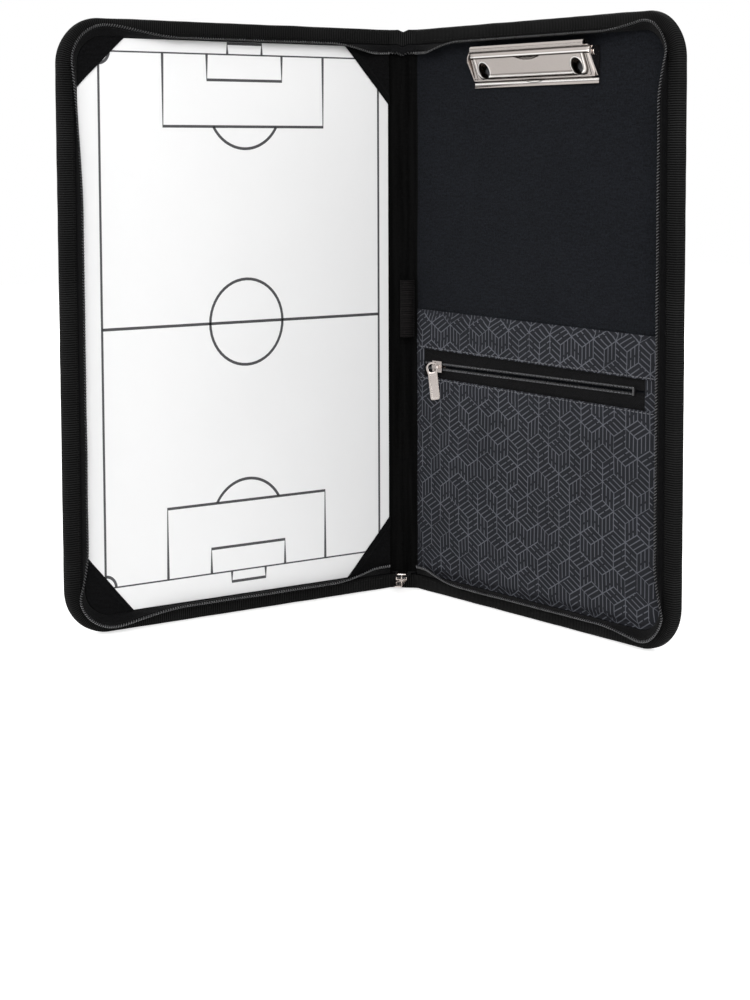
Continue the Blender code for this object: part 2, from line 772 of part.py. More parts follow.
def make_main_zip_end(spine):
    """The closed end of the main zip at the spine's foot: a forked tape, coils, stop and slider."""
    back_face = ZIP_LINE + ZIP_TAPE / 2
    front_face = ZIP_LINE - ZIP_TAPE / 2
    half = SPINE_WIDTH / 2
    wide = half - FOLD_GAP - FLANGE_LOW
    turn = half - FOLD_GAP - TONGUE_HALF_WIDTH
    fork = MAIN_SLIDER_CENTRE - SLIDER_LENGTH / 2 - GAP - STOP_LENGTH
    split = COIL_SPLIT / 2
    outline = [(FLANGE_LOW, -wide), (turn, -TONGUE_HALF_WIDTH), (TONGUE_LENGTH, -TONGUE_HALF_WIDTH),
               (TONGUE_LENGTH, -split), (fork, -split), (fork, split), (TONGUE_LENGTH, split),
               (TONGUE_LENGTH, TONGUE_HALF_WIDTH), (turn, TONGUE_HALF_WIDTH), (FLANGE_LOW, wide)]
    rings = [[place(x, v, w) for w, x in outline] for v in (front_face, back_face)]
    tongue = piece("main_zip_end_tape", ring_sweep(rings), spine, zip_tape())
    flange_wide = half - FOLD_GAP - FLANGE_HIGH
    flange = ring_sweep([[place(x, v, w) for x in (-flange_wide, flange_wide)
                          for v in ((ZIP_FLANGE_START, back_face - GAP / 3)
                                    if x < 0 else (back_face - GAP / 3, ZIP_FLANGE_START))]
                         for w in (FLANGE_LOW + GAP / 10, FLANGE_HIGH)])
    apply_boolean(tongue, [flange], "UNION")
    coil_start = fork + STOP_LENGTH + GAP
    coil_top = front_face - GAP
    coil_foot = coil_top - COIL_HEIGHT
    for name, way in (("left", -1), ("right", 1)):
        row = [(coil_start, way * split), (TONGUE_LENGTH, way * split),
               (TONGUE_LENGTH, way * (split + COIL_WIDTH)), (coil_start, way * (split + COIL_WIDTH))]
        rings = [[place(x, v, w) for w, x in row] for v in (coil_foot, coil_top)]
        piece("main_zip_end_coil_" + name, ring_sweep(rings), spine, zip_coil())
    reach = split + COIL_WIDTH
    stop = box((-reach, -fork - STOP_LENGTH, coil_foot), (reach, -fork, coil_top))
    piece("main_zip_end_stop", stop, spine, nickel())
    origin = place(0.0, back_face, MAIN_SLIDER_CENTRE)
    frame = axes_matrix((0, -1, 0), (1, 0, 0), (0, 0, -1), origin)
    make_slider("main_zip_slider", spine, frame, ZIP_TAPE)
    plate_high = slider_heights(ZIP_TAPE)[2]
    leg = MAIN_SLIDER_CENTRE + ARCH_LENGTH / 2 - ARCH_BAR / 2
    pin = place(0.0, back_face - plate_high - ARCH_CLEAR / 2, leg)
    make_pull("main_zip_pull", spine, pin, (1, 0, 0), (0, 1, 0), 0.0)


# Lever clip, drawn with a across the cover from the clip's centre and b up from its lower edge

def clip_point(a, b, w):
    return place(CLIP_CENTRE + a, CLIP_FOOT + b, w)


def sheet_object(name, faces, points, back, thickness, origin=(0.0, 0.0, 0.0)):
    """A bent sheet: its middle surface given by named points, thickened to both sides."""
    mesh = bmesh.new()
    verts = {key: mesh.verts.new(point) for key, point in points.items()}
    for face in faces:
        mesh.faces.new([verts[key] for key in face])
    thing = piece(name, mesh, back, nickel(), origin)
    modifier = thing.modifiers.new("sheet", "SOLIDIFY")
    modifier.thickness = thickness
    modifier.offset = 0.0
    modifier.use_even_offset = True
    bake(thing)
    return thing


def lever_profile():
    """The lever's middle surface in section: lip, step, sloped plate and the curled thumb edge."""
    middle = LEVER_SHEET / 2
    flat = [(0.0, GAP + middle), (LIP_DEPTH, GAP + middle), (LEVER_RISE_START, LEVER_LOW),
            (LEVER_RISE_END, LEVER_HIGH)]
    curl = []
    for i in range(8):
        angle = math.radians(140 - 40 * i)
        curl.append((CURL_ALONG + CURL_RADIUS * math.cos(angle),
                     CURL_ABOVE + CURL_RADIUS * math.sin(angle)))
    return flat, curl


def make_lever(back):
    """The sprung plate: lip, sloped plate with two holes, cheeks on the rod and a curled edge."""
    flat, curl = lever_profile()
    points = {}
    faces = []
    columns = {"l": -LEVER_FLAT_HALF_WIDTH, "r": LEVER_FLAT_HALF_WIDTH}
    rows = flat + curl
    for i, (b, w) in enumerate(rows):
        for key, a in columns.items():
            points[key + str(i)] = clip_point(a, b, w)
    for i in range(len(rows) - 1):
        faces.append(["l" + str(i), "r" + str(i), "r" + str(i + 1), "l" + str(i + 1)])
    half = LEVER_HALF_WIDTH - LEVER_SHEET / 2
    lip_half = CLIP_HALF_WIDTH
    cheek_foot = PIVOT_ABOVE - ROD_RADIUS - ROD_CLEARANCE - LEVER_SHEET
    cheek_reach = ROD_RADIUS + LEVER_SHEET
    for key, way in (("l", -1), ("r", 1)):
        for i in (0, 1):
            points[key + "lip" + str(i)] = clip_point(way * lip_half, rows[i][0], rows[i][1])
        faces.append([key + "0", key + "lip0", key + "lip1", key + "1"])
        for i, drop in ((2, 0.0), (3, LEVER_SHOULDER_DROP), (4, LEVER_SHOULDER_DROP)):
            b, w = rows[i]
            points[key + "edge" + str(i)] = clip_point(way * half, b, w - drop)
        for number, reach in (("2", -cheek_reach), ("3", cheek_reach)):
            points[key + "foot" + number] = clip_point(way * half, PIVOT_ALONG + reach, cheek_foot)
        for i in (2, 3):
            faces.append([key + str(i), key + "edge" + str(i), key + "edge" + str(i + 1),
                          key + str(i + 1)])
        faces.append([key + "edge2", key + "edge3", key + "edge4", key + "foot3", key + "foot2"])
    pivot = clip_point(0.0, PIVOT_ALONG, PIVOT_ABOVE)
    lever = sheet_object("clip_lever", faces, points, back, LEVER_SHEET, pivot)
    drills = []
    reach = CLIP_HALF_WIDTH + LEVER_SHEET
    drills.append(round_bar(pivot, (1, 0, 0), [(-reach, ROD_RADIUS + ROD_CLEARANCE),
                                               (reach, ROD_RADIUS + ROD_CLEARANCE)]))
    slope = math.atan2(LEVER_HIGH - LEVER_LOW, LEVER_RISE_END - LEVER_RISE_START)
    height = LEVER_LOW + (RIVET_ALONG - LEVER_RISE_START) * math.tan(slope)
    for way in (-1, 1):
        centre = clip_point(way * RIVET_SPREAD, RIVET_ALONG, height)
        drills.append(round_bar(centre, (0, -1, 0), [(-0.002, LEVER_HOLE_RADIUS),
                                                     (0.002, LEVER_HOLE_RADIUS)], 16))
    apply_boolean(lever, drills, "DIFFERENCE")


def make_clip_base(back):
    """The base plate: flat on the lining, its two ends turned up into ears for the rod."""
    middle = GAP + BASE_SHEET / 2
    half = CLIP_HALF_WIDTH - BASE_SHEET / 2
    ear_top = LEVER_HIGH
    points = {}
    for key, a in (("l", -half), ("r", half)):
        points[key + "0"] = clip_point(a, BASE_START, middle)
        points[key + "1"] = clip_point(a, BASE_END, middle)
        points[key + "2"] = clip_point(a, BASE_END, PIVOT_ABOVE + 2 * BASE_SHEET - BASE_SHEET / 2)
        points[key + "3"] = clip_point(a, PIVOT_ALONG + BASE_SHEET, ear_top)
        points[key + "4"] = clip_point(a, PIVOT_ALONG - 2 * BASE_SHEET, ear_top)
        points[key + "5"] = clip_point(a, BASE_START, middle + BASE_SHEET)
    faces = [["l0", "r0", "r1", "l1"]]
    for key in "lr":
        faces.append([key + number for number in "012345"])
    base = sheet_object("clip_base", faces, points, back, BASE_SHEET)
    pivot = clip_point(0.0, PIVOT_ALONG, PIVOT_ABOVE)
    reach = CLIP_HALF_WIDTH + 2 * BASE_SHEET
    hole = ROD_RADIUS + ROD_CLEARANCE
    drills = [round_bar(pivot, (1, 0, 0), [(-reach, hole), (reach, hole)])]
    for way in (-1, 1):
        centre = clip_point(way * RIVET_SPREAD, RIVET_ALONG, middle)
        radius = RIVET_SHANK_RADIUS + GAP
        drills.append(round_bar(centre, (0, -1, 0), [(-2 * BASE_SHEET, radius),
                                                     (2 * BASE_SHEET, radius)]))
    apply_boolean(base, drills, "DIFFERENCE")


def make_clip_rod(back):
    """The pivot rod, with a flat head beyond each ear."""
    pivot = clip_point(0.0, PIVOT_ALONG, PIVOT_ABOVE)
    inner = CLIP_HALF_WIDTH + GAP
    outer = inner + ROD_HEAD
    head = ROD_RADIUS * 1.7
    stations = [(-outer, head), (-inner, head), (-inner, ROD_RADIUS), (inner, ROD_RADIUS),
                (inner, head), (outer, head)]
    piece("clip_rod", round_bar(pivot, (1, 0, 0), stations), back, nickel())


def make_clip_rivets(back):
    """Rivets through base, lining and stiffener; their tails sit in a recess of the stiffener."""
    base_top = GAP + BASE_SHEET
    head_low = base_top + GAP
    recess = STIFFENER_BACK + RIVET_TAIL + 2 * GAP
    tail_low = STIFFENER_BACK
    for name, way in (("clip_rivet_fold_side", -1), ("clip_rivet_outer_side", 1)):
        centre = clip_point(way * RIVET_SPREAD, RIVET_ALONG, 0.0)
        tail_radius = RIVET_HEAD_RADIUS - GAP
        stations = [(tail_low, tail_radius), (tail_low + RIVET_TAIL, tail_radius),
                    (tail_low + RIVET_TAIL, RIVET_SHANK_RADIUS), (head_low, RIVET_SHANK_RADIUS),
                    (head_low, RIVET_HEAD_RADIUS), (head_low + RIVET_HEAD / 2, RIVET_HEAD_RADIUS),
                    (head_low + RIVET_HEAD, RIVET_HEAD_RADIUS / 2)]
        piece(name, round_bar(centre, (0, -1, 0), stations), back, dark_steel())
        hole = RIVET_SHANK_RADIUS + GAP
        for cut_name, low, high in (("back_cover_lining", LINING_BACK - GAP, GAP),
                                    ("back_cover_stiffener", STIFFENER_BACK - GAP,
                                     STIFFENER_FRONT + GAP)):
            drills = [round_bar(centre, (0, -1, 0), [(low, hole), (high, hole)])]
            if cut_name == "back_cover_stiffener":
                drills.append(round_bar(centre, (0, -1, 0),
                                        [(STIFFENER_BACK - GAP, RIVET_HEAD_RADIUS + GAP),
                                         (recess, RIVET_HEAD_RADIUS + GAP)]))
            apply_boolean(bpy.data.objects[cut_name], drills, "DIFFERENCE")


def spring_points():
    """The torsion spring's wire: a leg under the thumb edge, the curls, a leg on the base plate."""
    mean = ROD_RADIUS + GAP + SPRING_WIRE / 2
    wire = SPRING_WIRE / 2
    length = (SPRING_TURNS + 0.5) * SPRING_PITCH
    steps = round((SPRING_TURNS + 0.5) * SPRING_STEPS)
    curl_foot = CURL_ABOVE - CURL_RADIUS - LEVER_SHEET / 2
    points = [clip_point(-length / 2, CURL_ALONG - 0.0010, curl_foot - GAP - wire)]
    for i in range(steps + 1):
        share = i / steps
        angle = math.radians(90) + share * (SPRING_TURNS + 0.5) * 2 * math.pi
        points.append(clip_point((share - 0.5) * length, PIVOT_ALONG + mean * math.cos(angle),
                                 PIVOT_ABOVE + mean * math.sin(angle)))
    base_top = GAP + BASE_SHEET
    points.append(clip_point(length / 2, BASE_END, base_top + GAP + wire))
    return points


def least_gap(points, wire, steps):
    """The least distance between two stretches of one wire, measured on its points."""
    least = math.inf
    skip = steps // 2
    for i, first in enumerate(points):
        for second in points[i + skip:]:
            least = min(least, (first - second).length)
    return least - wire


def make_clip_spring(back):
    points = spring_points()
    gap = least_gap(points, SPRING_WIRE, SPRING_STEPS)
    print("clip_spring: least gap to itself", round(gap * 1000, 2), "mm")
    curve = bpy.data.curves.new("clip_spring", "CURVE")
    curve.dimensions = "3D"
    curve.bevel_depth = SPRING_WIRE / 2
    curve.bevel_resolution = 1
    curve.use_fill_caps = True
    spline = curve.splines.new("POLY")
    spline.points.add(len(points) - 1)
    for point, spot in zip(spline.points, points):
        point.co = (*spot, 1.0)
    wire = bpy.data.objects.new("wire", curve)
    bpy.context.collection.objects.link(wire)
    bpy.context.view_layer.update()
    data = bpy.data.meshes.new_from_object(wire.evaluated_get(bpy.context.evaluated_depsgraph_get()))
    bpy.data.objects.remove(wire, do_unlink=True)
    bpy.data.curves.remove(curve)
    mesh = bmesh.new()
    mesh.from_mesh(data)
    bpy.data.meshes.remove(data)
    bmesh.ops.remove_doubles(mesh, verts=mesh.verts, dist=SPRING_WIRE / 1000)
    piece("clip_spring", mesh, back, dark_steel())


# Spine

def make_spine(spine):
    """Lining, stiffener and shell between the folds, and the binding at the top and the foot."""
    half = SPINE_WIDTH / 2 - FOLD_GAP
    top = COVER_HEIGHT - LAYER_INSET - SPINE_NOTCH
    outline = [(-half, LAYER_INSET), (half, LAYER_INSET), (half, top), (-half, top)]
    piece("spine_lining", slab(outline, 0.0, LINING_BACK), spine, lining_fabric())
    piece("spine_stiffener", slab(outline, STIFFENER_FRONT, STIFFENER_BACK), spine,
          stiffener_board())
    piece("spine_shell", slab(outline, SHELL_FRONT, SHELL_BACK), spine, shell_fabric())
    piece("spine_binding_top", spine_sweep(binding_profile(), True, SPINE_NOTCH), spine,
          binding_tape())
    piece("spine_binding_foot", spine_sweep(binding_profile(), False), spine, binding_tape())
    piece("spine_zip_tape_top", spine_sweep(tape_profile(LEAN_AT_FOLD, ZIP_REACH_AT_FOLD), True, SPINE_NOTCH), spine,
          zip_tape())
    piece("spine_zip_coil_top", spine_sweep(coil_profile(LEAN_AT_FOLD, ZIP_REACH_AT_FOLD), True, SPINE_NOTCH), spine,
          zip_coil())


def make_pen_loop(spine):
    """A band of elastic sewn down at both sides, standing off the spine in a low arch."""
    half = PEN_LOOP_WIDTH / 2
    fabric = PEN_LOOP_FABRIC
    outer = [(half, GAP)]
    inner = [(half - fabric, GAP + fabric)]
    for i in range(7):
        angle = math.radians(30 * i)
        rise = PEN_LOOP_RISE - half
        outer.append((half * math.cos(angle), GAP + rise + half * math.sin(angle)))
        inner.append(((half - fabric) * math.cos(angle),
                      GAP + rise + (half - fabric) * math.sin(angle)))
    outer.append((-half, GAP))
    inner.append((-half + fabric, GAP + fabric))
    mesh = bmesh.new()
    levels = (PEN_LOOP_FOOT, PEN_LOOP_FOOT + PEN_LOOP_HEIGHT)
    loops = [[[mesh.verts.new(place(PEN_LOOP_CENTRE + x, v, w)) for x, w in ring]
              for v in levels] for ring in (outer, inner)]
    count = len(outer)
    for i in range(count):
        j = (i + 1) % count
        for ring in loops:
            mesh.faces.new((ring[0][i], ring[0][j], ring[1][j], ring[1][i]))
        for level in (0, 1):
            mesh.faces.new((loops[0][level][i], loops[0][level][j],
                            loops[1][level][j], loops[1][level][i]))
    piece("pen_loop", mesh, spine, elastic_band())


def build():
    clear_scene()
    back, spine, front = make_frames()
    make_cover("back_cover", back, 1)
    make_cover("front_cover", front, -1)
    make_spine(spine)
    make_pen_loop(spine)
    make_main_zip_end(spine)
    make_board(front)
    make_corner_pockets(front)
    make_webbing(front)
    make_pocket(back)
    make_pocket_zip(back)
    make_pocket_slider(back)
    make_lever(back)
    make_clip_base(back)
    make_clip_rod(back)
    make_clip_rivets(back)
    make_clip_spring(back)


build()
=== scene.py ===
"""Looks of a zipped tactics folder, open and standing on its foot edges like a book.

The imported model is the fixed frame. Every piece here is drawn in metres in that frame, on one of
three panels: u runs out from a cover's fold, or across the spine from its middle, v up the panel
and w out of its inner face.
"""
import json
import math

import bpy
import numpy as np
from mathutils import Matrix, Vector, noise


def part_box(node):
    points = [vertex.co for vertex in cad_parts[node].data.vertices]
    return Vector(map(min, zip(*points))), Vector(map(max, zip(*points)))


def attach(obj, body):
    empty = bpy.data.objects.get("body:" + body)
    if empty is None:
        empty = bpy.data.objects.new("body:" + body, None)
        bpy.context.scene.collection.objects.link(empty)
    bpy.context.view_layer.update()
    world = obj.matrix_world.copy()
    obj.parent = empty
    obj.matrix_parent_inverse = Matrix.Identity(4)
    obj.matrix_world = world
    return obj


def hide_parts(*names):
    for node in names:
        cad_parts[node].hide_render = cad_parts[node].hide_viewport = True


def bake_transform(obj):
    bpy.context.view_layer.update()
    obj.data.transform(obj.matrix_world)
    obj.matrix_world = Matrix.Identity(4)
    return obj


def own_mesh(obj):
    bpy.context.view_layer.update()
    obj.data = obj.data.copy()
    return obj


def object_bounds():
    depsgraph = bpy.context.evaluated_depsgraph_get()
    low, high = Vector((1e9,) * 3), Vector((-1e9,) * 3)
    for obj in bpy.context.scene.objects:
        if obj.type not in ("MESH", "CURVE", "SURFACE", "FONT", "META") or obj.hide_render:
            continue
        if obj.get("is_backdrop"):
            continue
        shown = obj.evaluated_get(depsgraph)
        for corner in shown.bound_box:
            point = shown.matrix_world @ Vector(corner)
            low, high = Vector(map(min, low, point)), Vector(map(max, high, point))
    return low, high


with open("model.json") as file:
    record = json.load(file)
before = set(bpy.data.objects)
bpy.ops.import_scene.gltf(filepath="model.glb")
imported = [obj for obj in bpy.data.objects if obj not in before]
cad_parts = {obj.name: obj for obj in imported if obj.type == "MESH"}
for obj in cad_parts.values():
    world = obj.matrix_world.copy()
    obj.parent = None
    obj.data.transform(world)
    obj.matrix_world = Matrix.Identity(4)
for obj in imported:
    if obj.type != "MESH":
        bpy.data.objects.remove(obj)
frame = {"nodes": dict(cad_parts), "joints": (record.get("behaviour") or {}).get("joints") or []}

bl_info = {
    "name": "Tactics Folder",
    "version": (1, 0, 0),
    "blender": (4, 5, 0),
    "location": "View3D > Sidebar > Folder",
    "description": "Fabric, zips, clip and board of a zipped tactics folder",
    "category": "Object",
}

CAD_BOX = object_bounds()
MM = 0.001

# Sizes read from the frame
FOLD_LINE = Vector(next(j for j in frame["joints"] if j["name"] == "back_fold")["pos_m"])
COVER_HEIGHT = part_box("back_cover_binding")[1].z
COVER_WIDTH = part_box("back_cover_binding")[1].x - FOLD_LINE.x
SHELL_BACK = FOLD_LINE.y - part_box("back_cover_shell")[1].y
BINDING_BACK = FOLD_LINE.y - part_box("back_cover_binding")[1].y
BOARD_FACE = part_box("tactics_board")[1].x + FOLD_LINE.x
SPINE_HALF = FOLD_LINE.x * math.sqrt(2)

# Covers and spine, which the frame's boxes don't give
GAP = 0.3 * MM
CORNER_RADIUS = 27 * MM
EDGE_LENGTH = (2 * (COVER_WIDTH - CORNER_RADIUS) + math.pi * CORNER_RADIUS
               + COVER_HEIGHT - 2 * CORNER_RADIUS)
LAYER_INSET = 0.9 * MM
CLOTH_THICK = 0.6 * MM
THIN_CLOTH = 0.4 * MM
SHELL_MIDDLE = SHELL_BACK + CLOTH_THICK / 2
LINING_MIDDLE = -0.35 * MM
BINDING_DEPTH = 8.8 * MM
BINDING_THICK = 0.5 * MM
BINDING_IN_HIGH = 1.8 * MM
BINDING_ROWS = 34
SPINE_NOTCH = 1.4 * MM
FOLD_LAP = 0.9 * MM
FOLD_WIDTH = 5 * MM

# Stitches: the share of its length that each one fills, and its bead's sections, each by its
# place along it, its lift off the cloth and half its width
STITCH_SPAN = (0.13, 0.87)
STITCH_BEAD = [(share, lift * MM, half * MM) for share, lift, half in (
    (0.0, -0.10, 0.12), (0.2, 0.10, 0.2), (0.5, 0.16, 0.22), (0.8, 0.10, 0.2), (1.0, -0.10, 0.12))]

# Main zip: its tape leans in at the folds, by degrees, and out round the corners. Past a corner
# it stands up again, from some way before the corner's end and over a length.
ZIP_LINE = 10.3 * MM
ZIP_RISE = 2.4 * MM
ZIP_REACH = 8.0 * MM
ZIP_REACH_AT_FOLD = 4.4 * MM
ZIP_REACH_UPRIGHT = 4.75 * MM
TAPE_THICK = 0.5 * MM
TAPE_ROWS = 16
LEAN_AT_FOLD = 78.0
LEAN_AT_TOP = -5.0
LEAN_AT_CORNER = {"back_cover": -54.0, "front_cover": -52.0}
LEAN_ON_SIDE = {"back_cover": -5.0, "front_cover": -1.5}
LEAN_CHANGE = 50 * MM
LEAN_DELAY = {"back_cover": 18 * MM, "front_cover": 0.0}
LEAN_WANDER = 2.5
RISING = (10 * MM, 34 * MM)
RISING_SLOWLY = (20 * MM, 105 * MM)
MAIN_SLIDER_CENTRE = 9.2 * MM
TONGUE_LENGTH = 14 * MM

# Coils: half a turn's height, half its width and the wire's radius
MAIN_COIL = (0.76 * MM, 0.42 * MM, 0.26 * MM)
POCKET_COIL = (0.3 * MM, 0.72 * MM, 0.2 * MM)
ZIP_END_COIL = (0.3 * MM, 0.65 * MM, 0.2 * MM)
ZIP_END_PITCH = 1.1 * MM

# Two sewing cords and the core of the main zip's coil: below it, beside it, half height and width
MAIN_ZIP_CORDS = [(below * MM, beside * MM, tall * MM, wide * MM) for below, beside, tall, wide in (
    (1.65, -0.3, 0.24, 0.24), (1.65, 0.3, 0.24, 0.24), (0.0, 0.0, 0.72, 0.36))]

# Pen loop
PEN_LOOP_FOOT = 159.8 * MM
PEN_LOOP_HEIGHT = 35.2 * MM
PEN_LOOP_CENTRE = 2.4 * MM
PEN_LOOP_WIDTH = 8.5 * MM
PEN_LOOP_RISE = 6.6 * MM
PEN_LOOP_FABRIC = 0.7 * MM
PEN_LOOP_RIBS = 22

# Board: the pitch's left, right, foot and top lines, and half the width and the depth of its
# areas and of the goal, which lies behind its line
INNER_MARGIN = 10.9 * MM
PITCH_SIDES = (10.1 * MM, 205.5 * MM, 25.5 * MM, 331.6 * MM)
HALF_WAY_DROP = 4.2 * MM
CENTRE_CIRCLE = 25.5 * MM
PITCH_AREAS = ((56.1 * MM, 41.9 * MM), (26.2 * MM, 14.9 * MM), (12 * MM, -6.4 * MM))
PENALTY_SPOT = 29.5 * MM
PENALTY_ARC = 25.3 * MM
PENALTY_ARC_ANGLE = 60.5
CORNER_ARC = 6.8 * MM

# Corner pockets: each one's width and height, and the section of their slanting edges in
# millimetres
CORNER_POCKETS = {("top", "fold"): (33.6 * MM, 35.7 * MM), ("foot", "fold"): (33.6 * MM, 35.7 * MM),
                  ("top", "outer"): (30.0 * MM, 27.8 * MM),
                  ("foot", "outer"): (31.7 * MM, 36.6 * MM)}
ROLLED_EDGE = ((3.2, -0.1), (0.3, -0.1), (0.0, 0.12), (0.3, 0.42), (3.2, 0.5), (4.0, 0.2),
               (4.4, 0.0))

# Pocket and its zip: coil and cord lie so far from the zip's middle and above its tape's middle
POCKET_AT_FOLD = 1.6 * MM
POCKET_FAR = COVER_WIDTH - INNER_MARGIN
POCKET_TOP = 175.5 * MM
POCKET_SLOPE = 3.4 * MM
POCKET_HEM = 6.5 * MM
POCKET_ZIP_HEIGHT = 143 * MM
POCKET_ZIP_OPENING = 17.4 * MM
POCKET_PANEL_TOP = POCKET_ZIP_HEIGHT - POCKET_ZIP_OPENING / 2
POCKET_BAND_FOOT = POCKET_ZIP_HEIGHT + POCKET_ZIP_OPENING / 2
POCKET_ZIP_START = 9.5 * MM
POCKET_ZIP_END = 198.9 * MM
POCKET_TAPE_END = 206 * MM
POCKET_COIL_START = 14 * MM
SMALL_TAPE_MIDDLE = 1.55 * MM
SMALL_TAPE_INNER = 0.75 * MM
SMALL_TAPE_WIDTH = 10.5 * MM
SMALL_COIL_PLACE = (1.55 * MM, 0.75 * MM)
SMALL_CORD_PLACE = (1.75 * MM, 1.2 * MM)

# Lever clip
CLIP_CENTRE = 112.5 * MM
CLIP_FOOT = COVER_HEIGHT - 38 * MM
CLIP_HALF_WIDTH = 54.1 * MM
LEVER_HALF_WIDTH = 52.7 * MM
LEVER_FLAT_HALF_WIDTH = 49.5 * MM
FRAME_HALF_WIDTH = 46.8 * MM
FRAME_CORNER = 3 * MM
FRAME_FOOT = 6.6 * MM
PLATE_TOP = 17.2 * MM
RIVET_SPREAD = 40.6 * MM
HOLE_ALONG = 10 * MM
HOLE_RADIUS = 4.3 * MM
HOLE_RIM = 5.0 * MM
PIVOT_ALONG = 17.5 * MM
PIVOT_ABOVE = 4.4 * MM
PIVOT_RADIUS = 1.3 * MM
LEVER_THICK = 0.75 * MM

# Stretches of the lever's section: its step, the slope's start and the curl, by number, and how
# finely some are divided; and its cheek's bend, by shares of its width and of its drop
LEVER_STEP = 5
LEVER_SLOPE = 6
LEVER_CURL = 11
LEVER_DIVIDED = {5: 5, 6: 5, 7: 40}
CHEEK_BEND = ((0.0, 0.0), (0.35, 0.02), (0.65, 0.15), (0.88, 0.5), (1.0, 1.0))

# Outside of the front cover
WEBBING_START = 17 * MM
WEBBING_WIDTH = 40 * MM
RIBBON_WIDTH = 8.8 * MM
BAND_THICK = 0.55 * MM
TACK_ENDS = (22 * MM, 56 * MM)
TACK_HEIGHTS = (282 * MM, 211 * MM, 145 * MM, 72 * MM)

# Stage
CAMERA_ANGLES = (-53.489, -5.046, 0.195)
CAMERA_SHIFT = -0.16
FLOOR_COLOUR = (0.86, 0.86, 0.86)
FLOOR_GLOW = 0.62
FLOOR_SIZE = 6.0
STUDIO_LIGHT = 0.46
LAMP_AIM = (0.0, 0.0, 0.15)
LAMPS = (("soft_key", (2.3, -1.5, 1.5), 1.7, 54.0), ("soft_fill", (0.6, -2.2, 1.6), 1.6, 16.0),
         ("soft_back", (-1.9, 1.3, 1.5), 1.7, 44.0))

# Sockets of the Mix node that hold a share and colours
MIX_SHARE, MIX_FIRST, MIX_SECOND, MIX_RESULT = 0, 6, 7, 2

MATERIALS = {}


class FolderSizes(bpy.types.PropertyGroup):
    """Sizes of the cloth, the zips and the prints that a user may change."""
    weave_pitch: bpy.props.FloatProperty(
        name="Weave pitch", description="Distance between the cover fabric's threads",
        default=0.8 * MM, unit="LENGTH", precision=5)
    rib_pitch: bpy.props.FloatProperty(
        name="Rib pitch", description="Distance between the binding's ribs",
        default=1.3 * MM, unit="LENGTH", precision=5)
    coil_pitch: bpy.props.FloatProperty(
        name="Coil pitch", description="Length of one turn of the main zip's coil",
        default=1.66 * MM, unit="LENGTH", precision=5)
    small_coil_pitch: bpy.props.FloatProperty(
        name="Pocket coil pitch", description="Length of one turn of the pocket zip's coil",
        default=1.1 * MM, unit="LENGTH", precision=5)
    stitch_length: bpy.props.FloatProperty(
        name="Stitch length", description="Length of one stitch with its gap",
        default=3.0 * MM, unit="LENGTH", precision=5)
    cover_crown: bpy.props.FloatProperty(
        name="Cover crown", description="How far the outer fabric stands up in its middle",
        default=0.9 * MM, unit="LENGTH", precision=5)
    print_line: bpy.props.FloatProperty(
        name="Pitch line", description="Width of the pitch's printed lines",
        default=1.7 * MM, unit="LENGTH", precision=5)
    camera_lens: bpy.props.FloatProperty(
        name="Lens", description="Focal length on a 36 mm high frame",
        default=75.0, unit="CAMERA")
    camera_place: bpy.props.FloatVectorProperty(
        name="Camera", description="Where the camera stands", size=3,
        default=(1.03364, -0.78755, 0.27221), subtype="TRANSLATION", unit="LENGTH")


def srgb(red, green, blue):
    """A colour as it is seen, from 0 to 255, as linear light."""
    return tuple((c / 255 / 12.92) if c <= 10 else (((c / 255) + 0.055) / 1.055) ** 2.4
                 for c in (red, green, blue))


def colour_property(name, description, seen):
    return bpy.props.FloatVectorProperty(name=name, description=description, size=3,
                                         subtype="COLOR", min=0.0, max=1.0, default=srgb(*seen))


class FolderColours(bpy.types.PropertyGroup):
    """Colours of the folder's materials."""
    shell: colour_property("Shell", "Outer fabric", (31, 30, 35))
    lining: colour_property("Lining", "Inner fabric of the back cover", (17, 19, 23))
    corner: colour_property("Corner pockets", "Fabric corners that hold the board", (10, 10, 11))
    spine: colour_property("Spine", "Inner fabric of the spine and the front cover", (5, 5, 5))
    binding: colour_property("Binding", "Ribbed tape round the edges", (13, 13, 13))
    elastic: colour_property("Elastic", "Band of the pen loop", (9, 8, 8))
    tape: colour_property("Zip tape", "Woven tape of the zips", (10, 10, 11))
    coil: colour_property("Zip coil", "Nylon coil of the main zip", (76, 76, 78))
    small_coil: colour_property("Pocket coil", "Nylon coil of the pocket's zip", (30, 30, 31))
    thread: colour_property("Thread", "Light thread along the pocket's zip", (104, 105, 109))
    pocket: colour_property("Pocket", "Printed fabric of the pocket", (35, 36, 40))
    pocket_line: colour_property("Pocket lines", "Lines printed on the pocket", (99, 101, 108))
    board: colour_property("Board", "White board", (246, 246, 246))
    pitch: colour_property("Pitch", "Printed pitch lines", (78, 78, 80))
    webbing: colour_property("Webbing", "Band down the front cover", (38, 37, 40))
    webbing_line: colour_property("Webbing figure", "Lighter thread of the band", (96, 102, 110))
    nickel: colour_property("Nickel", "Plated clip, sliders and stops", (191, 183, 178))
    steel: colour_property("Steel", "Rivets and spring", (70, 70, 72))
    badge: colour_property("Badge", "Print on the front cover", (240, 240, 240))


# Shader maths

